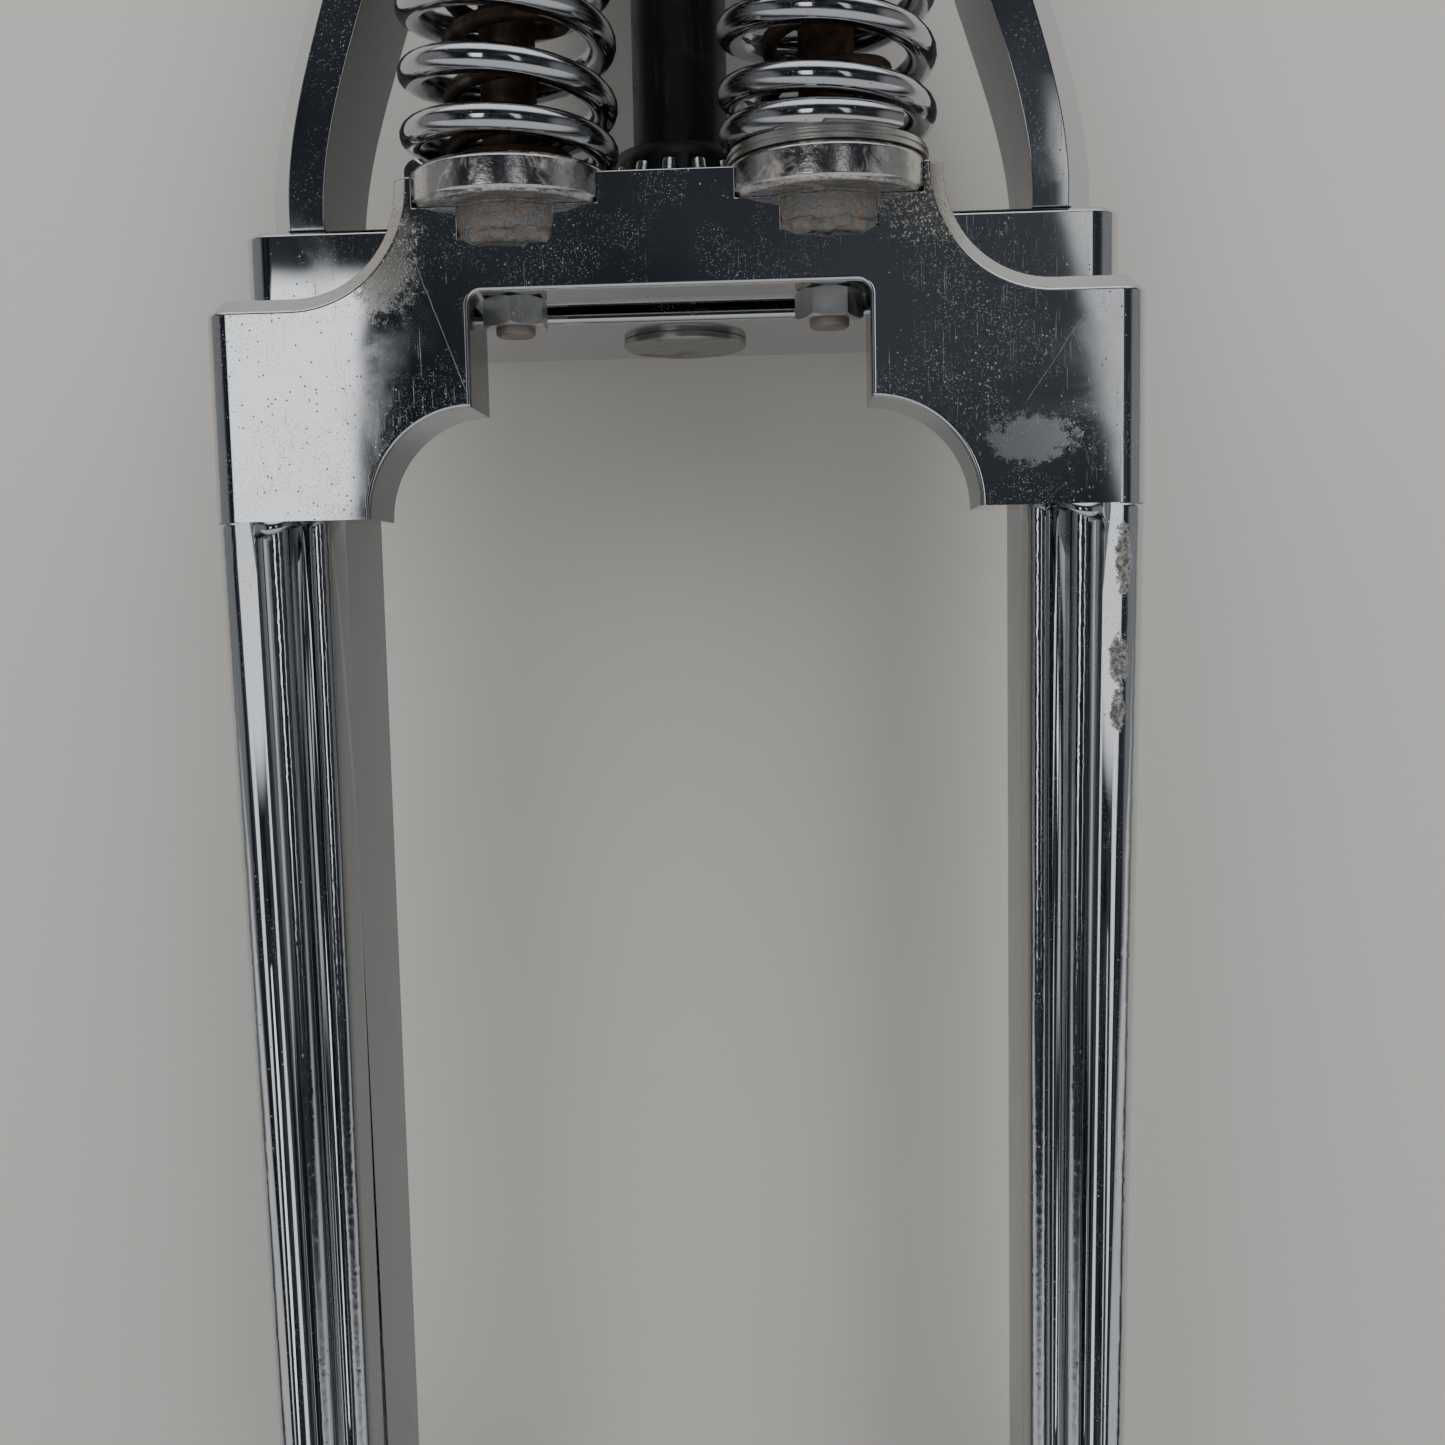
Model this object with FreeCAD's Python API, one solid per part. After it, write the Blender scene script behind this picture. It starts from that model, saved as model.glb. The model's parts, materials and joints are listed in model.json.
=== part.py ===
"""Springer front fork for a motorcycle.

A rigid rear fork carries the steering stem. A sprung front fork stands ahead of it
and is joined to it at the bottom by two rockers, which also hold the wheel axle.
The main springs stand on the front fork's crown and push up against the bridge at
the top of the rigid fork; lighter rebound springs work above that bridge.

Frame: millimetres, X to the rider's left and right, -Y to the front, +Z up the
steering stem. The origin is on the stem's axis, at the top face of the rear yoke.
"""
import FreeCAD, Part
import math
import os

# Fits and gaps
REST_GAP = 0.3               # between parts of different bodies
RUNNING_FIT = 0.05           # radial, pins and rollers that turn

# Rear yoke
YOKE_HALF_WIDTH = 112.6
YOKE_THICK = 25.4
YOKE_FRONT_Y = -30.0
YOKE_REAR_Y = 30.0
YOKE_END_REAR_Y = 10.0
YOKE_HUB_HALF_WIDTH = 62.0
YOKE_CORNER_R = 9.0

# Steering stem and its top fittings
STEM_R = 12.7
STEM_HEAD_R = 16.6
STEM_HEAD_THICK = 2.4
STEM_BORE_R = 7.0
SHIELD_R = 24.5
SHIELD_THICK = 1.6
ADJUSTER_FLATS = 38.0
ADJUSTER_THICK = 10.0
TOP_NUT_FLATS = 31.75
TOP_NUT_THICK = 14.0
STEM_END_OVER_NUT = 2.0

# Tapered roller bearings
CONE_HEIGHT = 20.0
CONE_RIB = 3.0
RACE_BIG_R = 17.6
RACE_SMALL_R = 14.6
ROLLER_BIG_R = 2.7
ROLLER_SMALL_R = 2.25
ROLLER_COUNT = 15
CAGE_WALL = 1.1
CAGE_SLACK = 0.15

# Rigid fork legs and upper arms
REAR_LEG_INNER_X = 88.5
REAR_LEG_WIDTH = 21.5
REAR_LEG_FOOT_WIDTH = 20.5
REAR_LEG_DEPTH = 38.0
REAR_LEG_FOOT_DEPTH = 30.0
ARM_INNER_X = 89.5
ARM_WIDTH = 15.7
ARM_TOP_WIDTH = 18.0
ARM_TOP_INNER_X = 42.5
ARM_TOP_FRONT_Y = -17.0
ARM_DEPTH = 38.0
ARM_BEVEL_X = 6.8
ARM_BEVEL_Y = 9.0
ARM_TOP_Z = 186.0

# Rockers
PIVOT_Z = -400.0
PIVOT_Y = -6.0
PIVOT_SPACING = 50.0
ROCKER_SWING = 36.0
AXLE_SPACING = 88.0
AXLE_DROP = 22.0
AXLE_BORE_R = 9.575
ROCKER_INNER_X = 70.6
ROCKER_THICK = 13.4
ROCKER_PIVOT_BOSS_R = 15.5
ROCKER_AXLE_BOSS_R = 19.5

# Pivot studs, bushes and nuts
STUD_R = 7.94
STUD_THREAD_R = 6.35
STUD_HEAD_R = 11.0
STUD_HEAD_THICK = 2.0
BUSH_R = 10.5
STUD_WASHER_R = 13.0
STUD_WASHER_THICK = 2.0
STUD_NUT_FLATS = 20.6
STUD_NUT_HEX = 8.0
STUD_NUT_DOME = 6.0
GREASE_NIPPLE_R = 1.6

# Sprung front fork
FRONT_FACE_Y = -58.0
CROWN_DEPTH = 22.0
CROWN_HALF_WIDTH = 112.4
CROWN_TOP_Z = 4.6
CROWN_SHOULDER_Z = -22.0
CROWN_WEB_Z = -22.3
CROWN_NOTCH_Z = -49.2
CROWN_BOTTOM_Z = -75.0
CROWN_EAR_X = 65.0
CROWN_NOTCH_X = 47.4
CROWN_SCOOP_R = 25.4
CROWN_EDGE_R = 7.0
CROWN_TOP_BEVEL = 3.6
CROWN_EDGE_BREAK = 0.8
CROWN_CORNER_R = 3.0
FRONT_LEG_INNER_X = 85.0
FRONT_LEG_WIDTH = 27.2
FRONT_LEG_FOOT_WIDTH = 22.2
FRONT_LEG_DEPTH = 20.0
FRONT_LEG_FOOT_DEPTH = 17.0
FRONT_EYE_R = 15.5
REAR_EYE_R = 17.0
EYE_PROUD = 0.5              # thrust faces, each side of a leg
RUNOUT_DROP = 4.2

# Rods, springs and their seats
ROD_X = 38.1
ROD_Y = -47.0
ROD_R = 6.7
ROD_FOOT_THREAD_R = 4.76
ROD_HEAD_THREAD_R = 5.5
ROD_FOOT_PROUD = 2.0
FOOT_NUT_FLATS = 14.3
FOOT_NUT_THICK = 7.0
COLLAR_R = 24.4
COLLAR_BOTTOM_Z = -2.5
COLLAR_THICK = 9.0
HUB_R = 15.7
HUB_HEIGHT = 7.5
SPIGOT_R = 10.9
SPIGOT_HEIGHT = 3.4
SHIM_COUNT = 4
SHIM_THICK = 0.75
MAIN_SPRING_R = 26.2
MAIN_WIRE_R = 3.5
MAIN_TURNS = 12.0
INNER_SPRING_R = 15.6
INNER_WIRE_R = 2.0
INNER_TURNS = 14.0
REBOUND_SPRING_R = 15.0
REBOUND_WIRE_R = 2.3
REBOUND_TURNS = 5.0
REBOUND_HEIGHT = 36.0
SEAT_THICK = 3.0

# Bridge and top bracket
BRIDGE_THICK = 16.0
BRIDGE_END_R = 22.0
BRIDGE_BAR_HALF_DEPTH = 17.0
ROD_SLACK = 1.9
ROD_BUSH_WALL = 2.2
ROD_BUSH_FLANGE_R = 15.5
ROD_BUSH_FLANGE_THICK = 2.0
RETAINER_R = 16.0
RETAINER_THICK = 4.0
ROD_NUT_FLATS = 19.0
ROD_NUT_HEX = 10.0
ROD_NUT_DOME = 7.0
BRACKET_THICK = 12.0
BRACKET_HALF_WIDTH = 62.0
BRACKET_FRONT_Y = -16.0
BRACKET_REAR_Y = 45.0
BRACKET_CORNER_R = 10.0
BRACKET_BOLT_R = 4.76
BRACKET_BOLT_FLATS = 14.3
BRACKET_BOLT_HEAD = 6.4
BRACKET_BOLT_DEPTH = 18.0
BRACKET_BOLT_PITCH = 18.0
BRACKET_WASHER_R = 9.5
BRACKET_WASHER_THICK = 1.6
RISER_SPACING = 88.9
RISER_HOLE_R = 6.6
RISER_Y = 31.0

# Worked out from the sizes above
FRONT_LEG_BACK_Y = FRONT_FACE_Y + FRONT_LEG_DEPTH
HALF_SWING = math.radians(ROCKER_SWING / 2)
FRONT_PIVOT_Y = PIVOT_Y - PIVOT_SPACING * math.cos(HALF_SWING)
FRONT_PIVOT_Z = PIVOT_Z - PIVOT_SPACING * math.sin(HALF_SWING)
AXLE_Y = PIVOT_Y - AXLE_SPACING * math.cos(math.radians(AXLE_DROP))
AXLE_Z = PIVOT_Z - AXLE_SPACING * math.sin(math.radians(AXLE_DROP))
FORK_SHIFT = PIVOT_SPACING * (1 - math.cos(HALF_SWING))
BUSH_BORE_R = STUD_R + RUNNING_FIT
ROCKER_OUTER_X = ROCKER_INNER_X + ROCKER_THICK
REAR_EYE_X = (REAR_LEG_INNER_X - EYE_PROUD, REAR_LEG_INNER_X + REAR_LEG_FOOT_WIDTH + EYE_PROUD)
FRONT_EYE_X = (FRONT_LEG_INNER_X - EYE_PROUD, FRONT_LEG_INNER_X + FRONT_LEG_FOOT_WIDTH + EYE_PROUD)
REAR_EYE_MID_X = sum(REAR_EYE_X) / 2
FRONT_EYE_MID_X = sum(FRONT_EYE_X) / 2
BRIDGE_Z = ARM_TOP_Z
BRIDGE_TOP_Z = BRIDGE_Z + BRIDGE_THICK
BRACKET_TOP_Z = BRIDGE_TOP_Z + BRACKET_THICK
UPPER_SHIELD_Z = BRIDGE_TOP_Z - ADJUSTER_THICK
COLLAR_TOP_Z = COLLAR_BOTTOM_Z + COLLAR_THICK
SEAT_Z = BRIDGE_Z - SEAT_THICK
BRIDGE_ROD_Y = ROD_Y - FORK_SHIFT / 2
ROD_BUSH_BORE_R = ROD_R + FORK_SHIFT / 2 + ROD_SLACK / 2
ROD_BUSH_R = ROD_BUSH_BORE_R + ROD_BUSH_WALL
REBOUND_Z = BRIDGE_TOP_Z + ROD_BUSH_FLANGE_THICK
RETAINER_Z = REBOUND_Z + REBOUND_HEIGHT + REST_GAP
ARM_BOLT_X = ARM_TOP_INNER_X + ARM_TOP_WIDTH / 2
ARM_BOLT_Y = ARM_TOP_FRONT_Y + ARM_DEPTH / 2


def vec(x, y, z):
    return FreeCAD.Vector(x, y, z)


def box(x0, x1, y0, y1, z0, z1):
    """Block between two corners."""
    return Part.makeBox(x1 - x0, y1 - y0, z1 - z0, vec(x0, y0, z0))


def upright(radius, x, y, z0, z1):
    """Cylinder that stands along Z."""
    return Part.makeCylinder(radius, z1 - z0, vec(x, y, z0))


def crosswise(radius, x0, x1, y, z):
    """Cylinder that lies along X."""
    return Part.makeCylinder(radius, x1 - x0, vec(x0, y, z), vec(1, 0, 0))


def ring(outer, inner, x, y, z0, z1):
    """Upright washer or bush."""
    return upright(outer, x, y, z0, z1).cut(upright(inner, x, y, z0, z1))


def polygon(points):
    """Closed wire through the points."""
    return Part.makePolygon(points + points[:1])


def prism(points, direction):
    """Solid of a flat outline pushed along a vector."""
    return Part.Face(polygon(points)).extrude(direction)


def revolve(profile, x=0.0, y=0.0):
    """Solid of (radius, z) points turned about an upright axis."""
    points = [vec(x + radius, y, z) for radius, z in profile]
    face = Part.Face(polygon(points))
    return face.revolve(vec(x, y, 0), vec(0, 0, 1), 360)


def hexagon(flats, z0, z1, x=0.0, y=0.0, turn=0.0):
    """Upright hexagonal prism, with its corners rounded off as on a real nut."""
    corner = flats / 2 / math.cos(math.pi / 6)
    points = [vec(x + corner * math.cos(turn + k * math.pi / 3),
                  y + corner * math.sin(turn + k * math.pi / 3), z0) for k in range(6)]
    body = prism(points, vec(0, 0, z1 - z0))
    trim = flats / 2 * 0.16
    barrel = revolve([(0, z0), (corner - trim, z0), (corner, z0 + trim * 0.6),
                      (corner, z1 - trim * 0.6), (corner - trim, z1), (0, z1)], x, y)
    return body.common(barrel)


def cap_nut(flats, hex_height, dome, bore, bore_depth, x, y, z):
    """Domed nut that stands along Z with a blind threaded bore from below."""
    body = hexagon(flats, z, z + hex_height, x, y)
    radius = flats / 2 * 0.9
    steps = 5
    profile = [(0, z + hex_height)]
    profile += [(radius * math.cos(a), z + hex_height + dome * math.sin(a))
                for a in (math.pi / 2 * k / steps for k in range(steps))]
    profile.append((0, z + hex_height + dome))
    body = body.fuse(revolve(profile, x, y)).removeSplitter()
    return body.cut(upright(bore, x, y, z, z + bore_depth))


def laid_along_x(shape, x, y, z):
    """Turn a shape made up the Z axis to point along +X from a place."""
    turned = shape.copy()
    turned.rotate(vec(0, 0, 0), vec(0, 1, 0), 90)
    turned.translate(vec(x, y, z))
    return turned


def coil(radius, wire, turns, x, y, z0, z1):
    """Open-ended helical spring between two heights."""
    rise = z1 - z0 - 2 * wire
    path = Part.Wire(Part.makeHelix(rise / turns, rise, radius - wire))
    section = Part.Wire(Part.makeCircle(wire, vec(radius - wire, 0, 0), vec(0, 1, 0)))
    spring = path.makePipeShell([section], True, True)
    spring.translate(vec(x, y, z0 + wire))
    return spring


def both_sides(shape):
    """The shape and its mirror image across the middle plane."""
    return [shape.mirror(vec(0, 0, 0), vec(1, 0, 0)), shape]


def group(shapes):
    """Separate solids that share one node."""
    return Part.makeCompound([solid for shape in shapes for solid in shape.Solids])


# ---------------------------------------------------------------- rigid rear fork

def rigid_yoke():
    """Forged plate that carries the stem, with an end for each leg."""
    half = [(0, YOKE_FRONT_Y), (YOKE_HALF_WIDTH, YOKE_FRONT_Y), (YOKE_HALF_WIDTH, YOKE_END_REAR_Y),
            (REAR_LEG_INNER_X - 4, YOKE_END_REAR_Y), (YOKE_HUB_HALF_WIDTH, YOKE_REAR_Y)]
    outline = [vec(x, y, -YOKE_THICK) for x, y in half]
    outline += [vec(-p.x, p.y, p.z) for p in reversed(outline) if p.x > 0]
    body = prism(outline, vec(0, 0, YOKE_THICK))
    corners = [e for e in body.Edges
               if abs(e.Length - YOKE_THICK) < 1e-6 and abs(e.Vertexes[0].X) > YOKE_HUB_HALF_WIDTH - 1]
    body = body.makeFillet(YOKE_CORNER_R, corners)
    rims = [e for e in body.Edges if abs(e.BoundBox.ZMax - e.BoundBox.ZMin) < 1e-6]
    body = body.makeChamfer(1.2, rims)
    return body.cut(upright(STEM_R, 0, 0, -YOKE_THICK, 0))


def steering_stem():
    """Stem with a thin head under the yoke and a hollow top end."""
    top = BRACKET_TOP_Z + BRACKET_WASHER_THICK + TOP_NUT_THICK + STEM_END_OVER_NUT
    body = revolve([(0, -YOKE_THICK - STEM_HEAD_THICK),
                    (STEM_HEAD_R - 0.8, -YOKE_THICK - STEM_HEAD_THICK),
                    (STEM_HEAD_R, -YOKE_THICK - STEM_HEAD_THICK + 0.8),
                    (STEM_HEAD_R, -YOKE_THICK), (STEM_R, -YOKE_THICK),
                    (STEM_R, top - 1.2), (STEM_R - 1.2, top), (0, top)])
    return body.cut(upright(STEM_BORE_R, 0, 0, -YOKE_THICK / 2, top))


def bevelled_section(inner, width, front, back, z, bevel_x, bevel_y):
    """Outline of a leg or arm: flat inside, bevelled along its outer edges."""
    outer = inner + width
    return polygon([vec(inner, front, z), vec(outer - bevel_x, front, z),
                    vec(outer, front + bevel_y, z), vec(outer, back - bevel_x, z),
                    vec(outer - bevel_x, back, z), vec(inner, back, z)])


def eye_boss(radius, span, y, z):
    """Round eye at a leg's foot, with its rims broken."""
    eye = crosswise(radius, *span, y, z)
    return eye.makeChamfer(0.4, [e for e in eye.Edges if e.Curve.TypeId == "Part::GeomCircle"])


def rigid_leg():
    """Rear leg from the yoke down to the eye of its rocker pivot."""
    front, back = YOKE_FRONT_Y, YOKE_FRONT_Y + REAR_LEG_DEPTH
    foot_front = PIVOT_Y - REAR_LEG_FOOT_DEPTH / 2
    foot_back = PIVOT_Y + REAR_LEG_FOOT_DEPTH / 2
    top = bevelled_section(REAR_LEG_INNER_X, REAR_LEG_WIDTH, front, back, -YOKE_THICK, 4, 5)
    foot = bevelled_section(REAR_LEG_INNER_X, REAR_LEG_FOOT_WIDTH, foot_front, foot_back, PIVOT_Z, 4, 5)
    shaft = Part.makeLoft([top, foot], True, True)
    body = shaft.fuse(eye_boss(REAR_EYE_R, REAR_EYE_X, PIVOT_Y, PIVOT_Z))
    body = body.cut(crosswise(BUSH_R, *REAR_EYE_X, PIVOT_Y, PIVOT_Z))
    return body.cut(nipple_seat(REAR_EYE_MID_X, PIVOT_Y, PIVOT_Z, REAR_EYE_R, 1))


def upper_arm():
    """Arm that leans in from the yoke, round the springs, to the bridge."""
    top_front = ARM_TOP_FRONT_Y
    lean = ARM_INNER_X - ARM_TOP_INNER_X
    stations = [(0.00, 0.000, 0.00), (0.10, 0.030, 0.00), (0.19, 0.115, 0.00), (0.31, 0.265, 0.05),
                (0.62, 0.640, 0.42), (0.86, 0.900, 0.80), (1.00, 1.000, 1.00)]
    wires = []
    for height, inward, rearward in stations:
        inner = ARM_INNER_X - lean * inward
        width = ARM_WIDTH + (ARM_TOP_WIDTH - ARM_WIDTH) * min(1, 2 * height)
        front = YOKE_FRONT_Y + (top_front - YOKE_FRONT_Y) * rearward
        wires.append(bevelled_section(inner, width, front, front + ARM_DEPTH, ARM_TOP_Z * height,
                                      ARM_BEVEL_X, ARM_BEVEL_Y))
    body = Part.makeLoft(wires, True, False)
    for y in (-BRACKET_BOLT_PITCH / 2, BRACKET_BOLT_PITCH / 2):
        body = body.cut(upright(BRACKET_BOLT_R, ARM_BOLT_X, ARM_BOLT_Y + y,
                                ARM_TOP_Z - BRACKET_BOLT_DEPTH, ARM_TOP_Z))
    return body


def spring_bridge():
    """Bar over the main springs, with a lug behind each end on the arm's top."""
    body = box(-ROD_X, ROD_X, BRIDGE_ROD_Y - BRIDGE_BAR_HALF_DEPTH,
               BRIDGE_ROD_Y + BRIDGE_BAR_HALF_DEPTH, BRIDGE_Z, BRIDGE_TOP_Z)
    lug_rear = ARM_TOP_FRONT_Y + ARM_DEPTH
    for side in (-1, 1):
        body = body.fuse(upright(BRIDGE_END_R, side * ROD_X, BRIDGE_ROD_Y, BRIDGE_Z, BRIDGE_TOP_Z))
        inner, outer = side * (ARM_TOP_INNER_X - 1), side * (ARM_TOP_INNER_X + ARM_TOP_WIDTH)
        lug = box(min(inner, outer), max(inner, outer), BRIDGE_ROD_Y, lug_rear, BRIDGE_Z, BRIDGE_TOP_Z)
        body = body.fuse(lug)
    body = body.removeSplitter()
    rims = [e for e in body.Edges
            if abs(e.BoundBox.ZMin - BRIDGE_TOP_Z) < 1e-6 and abs(e.BoundBox.ZMax - BRIDGE_TOP_Z) < 1e-6]
    body = body.makeChamfer(1.0, rims)
    for side in (-1, 1):
        body = body.cut(upright(ROD_BUSH_R, side * ROD_X, BRIDGE_ROD_Y, BRIDGE_Z, BRIDGE_TOP_Z))
    return body.cut(group(bracket_bolt_shanks(BRIDGE_Z, BRIDGE_TOP_Z)))


def bridge_bush():
    """Flanged guide bush that a rod slides through."""
    tube = upright(ROD_BUSH_R, ROD_X, BRIDGE_ROD_Y, BRIDGE_Z, BRIDGE_TOP_Z)
    flange = upright(ROD_BUSH_FLANGE_R, ROD_X, BRIDGE_ROD_Y, BRIDGE_TOP_Z, REBOUND_Z)
    bore = upright(ROD_BUSH_BORE_R, ROD_X, BRIDGE_ROD_Y, BRIDGE_Z, REBOUND_Z)
    return tube.fuse(flange).cut(bore)


def upper_spring_seat():
    """Dished washer under the bridge that centres the main springs."""
    lip = 4.0
    body = revolve([(0, SEAT_Z - lip), (SPIGOT_R, SEAT_Z - lip), (SPIGOT_R, SEAT_Z),
                    (MAIN_SPRING_R - 0.6, SEAT_Z), (MAIN_SPRING_R, SEAT_Z + 0.6),
                    (MAIN_SPRING_R, BRIDGE_Z), (0, BRIDGE_Z)], ROD_X, ROD_Y)
    return body.cut(upright(ROD_BUSH_BORE_R, ROD_X, BRIDGE_ROD_Y, SEAT_Z - lip, BRIDGE_Z))


def bracket_bolt_shanks(z0, z1):
    """Cylinders at the bolts that tie bracket, bridge and arms together."""
    return [upright(BRACKET_BOLT_R, side * ARM_BOLT_X, ARM_BOLT_Y + y, z0, z1)
            for side in (-1, 1) for y in (-BRACKET_BOLT_PITCH / 2, BRACKET_BOLT_PITCH / 2)]


def top_bracket():
    """Plate over the bridge that clamps the stem and carries the handlebar risers."""
    body = box(-BRACKET_HALF_WIDTH, BRACKET_HALF_WIDTH, BRACKET_FRONT_Y, BRACKET_REAR_Y,
               BRIDGE_TOP_Z, BRACKET_TOP_Z)
    body = body.makeFillet(BRACKET_CORNER_R, [e for e in body.Edges if abs(e.Length - BRACKET_THICK) < 1e-6])
    rims = [e for e in body.Edges if abs(e.BoundBox.ZMin - BRACKET_TOP_Z) < 1e-6]
    body = body.makeFillet(1.5, rims)
    body = body.cut(upright(STEM_R, 0, 0, BRIDGE_TOP_Z, BRACKET_TOP_Z))
    for side in (-1, 1):
        body = body.cut(upright(RISER_HOLE_R, side * RISER_SPACING / 2, RISER_Y,
                                BRIDGE_TOP_Z, BRACKET_TOP_Z))
    return body.cut(group(bracket_bolt_shanks(BRIDGE_TOP_Z, BRACKET_TOP_Z)))


def bracket_bolts():
    """Four hexagon screws down through bracket and bridge into the arms."""
    head_z = BRACKET_TOP_Z + BRACKET_WASHER_THICK
    bolts = []
    for shank in bracket_bolt_shanks(ARM_TOP_Z - BRACKET_BOLT_DEPTH, head_z):
        centre = shank.BoundBox.Center
        head = hexagon(BRACKET_BOLT_FLATS, head_z, head_z + BRACKET_BOLT_HEAD, centre.x, centre.y)
        bolts.append(shank.fuse(head))
    return group(bolts)


def bracket_washers():
    """Washers under the four bracket bolts."""
    washers = []
    for shank in bracket_bolt_shanks(BRACKET_TOP_Z, BRACKET_TOP_Z + BRACKET_WASHER_THICK):
        centre = shank.BoundBox.Center
        washers.append(upright(BRACKET_WASHER_R, centre.x, centre.y, BRACKET_TOP_Z,
                               BRACKET_TOP_Z + BRACKET_WASHER_THICK).cut(shank))
    return group(washers)


def stem_washer():
    """Washer between the top bracket and the stem nut."""
    return ring(TOP_NUT_FLATS / 2 + 3, STEM_R, 0, 0, BRACKET_TOP_Z, BRACKET_TOP_Z + BRACKET_WASHER_THICK)


def stem_top_nut():
    """Large nut that holds the bracket down on the stem."""
    z = BRACKET_TOP_Z + BRACKET_WASHER_THICK
    return hexagon(TOP_NUT_FLATS, z, z + TOP_NUT_THICK).cut(upright(STEM_R, 0, 0, z, z + TOP_NUT_THICK))


def stem_adjuster():
    """Slotted ring nut that sets the bearing play, under the bracket."""
    z = UPPER_SHIELD_Z
    body = ring(ADJUSTER_FLATS / 2, STEM_R, 0, 0, z, BRIDGE_TOP_Z)
    slot_half = 2.5
    for k in range(4):
        slot = box(ADJUSTER_FLATS / 2 - 2.5, ADJUSTER_FLATS, -slot_half, slot_half, z, BRIDGE_TOP_Z)
        slot.rotate(vec(0, 0, 0), vec(0, 0, 1), 45 + 90 * k)
        body = body.cut(slot)
    return body


# ---------------------------------------------------------------- steering bearings

def bearing_cone():
    """Inner race of a tapered roller bearing, standing on z = 0 with its big end down."""
    top = CONE_HEIGHT
    return revolve([(STEM_R, 0), (RACE_BIG_R + 1.6, 0), (RACE_BIG_R + 1.6, CONE_RIB),
                    (RACE_BIG_R, CONE_RIB), (RACE_SMALL_R, top - CONE_RIB),
                    (RACE_SMALL_R + 0.9, top - CONE_RIB), (RACE_SMALL_R + 0.9, top), (STEM_R, top)])


def roller_line():
    """Lower and upper centre of one roller, as (radius, z), touching neither race nor ribs."""
    low, high = CONE_RIB, CONE_HEIGHT - CONE_RIB
    lean = math.atan2(RACE_BIG_R - RACE_SMALL_R, high - low)
    end_gap = 0.3
    big = RACE_BIG_R + (ROLLER_BIG_R + RUNNING_FIT) / math.cos(lean)
    small = RACE_SMALL_R + (ROLLER_SMALL_R + RUNNING_FIT) / math.cos(lean)
    rise = ROLLER_BIG_R * math.sin(lean)
    low_z, high_z = low + end_gap + rise, high - end_gap - rise
    share = (low_z - low) / (high - low)
    low_r = big + (small - big) * share
    high_r = big + (small - big) * (high_z - low) / (high - low)
    return (low_r, low_z), (high_r, high_z)


def tapered_roller(grow=0.0, longer=0.0):
    """One roller in the X-Z plane, or its pocket when grown."""
    (low_r, low_z), (high_r, high_z) = roller_line()
    axis = vec(high_r - low_r, 0, high_z - low_z)
    length = axis.Length + 2 * longer
    axis.normalize()
    start = vec(low_r, 0, low_z) - axis * longer
    return Part.makeCone(ROLLER_BIG_R + grow, ROLLER_SMALL_R + grow, length, start, axis)


def spaced_round(shape):
    """Copies of a shape at every roller place about the stem."""
    copies = []
    for k in range(ROLLER_COUNT):
        copy = shape.copy()
        copy.rotate(vec(0, 0, 0), vec(0, 0, 1), 360.0 / ROLLER_COUNT * k)
        copies.append(copy)
    return copies


def roller_cage():
    """Pressed conical cage with a window for each roller."""
    (low_r, low_z), (high_r, high_z) = roller_line()
    wall = CAGE_WALL
    out = 0.5
    low, high = CONE_RIB + 0.4, CONE_HEIGHT + 1.2
    slope = (high_r - low_r) / (high_z - low_z)
    low_in = low_r + out + slope * (low - low_z)
    high_in = low_r + out + slope * (high - low_z)
    shell = revolve([(low_in, low), (low_in + wall, low), (high_in + wall, high),
                     (RACE_SMALL_R + 0.9 + 0.5, high), (RACE_SMALL_R + 0.9 + 0.5, high - wall),
                     (high_in, high - wall)])
    for pocket in spaced_round(tapered_roller(CAGE_SLACK, CAGE_SLACK)):
        shell = shell.cut(pocket)
    return shell


def flipped(shape, z):
    """Turn a bearing part over and stand its big end at height z."""
    turned = shape.copy()
    turned.rotate(vec(0, 0, 0), vec(1, 0, 0), 180)
    turned.translate(vec(0, 0, z))
    return turned


def raised(shape, z):
    """Lift a part to height z."""
    lifted = shape.copy()
    lifted.translate(vec(0, 0, z))
    return lifted


# ---------------------------------------------------------------- sprung front fork

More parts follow.
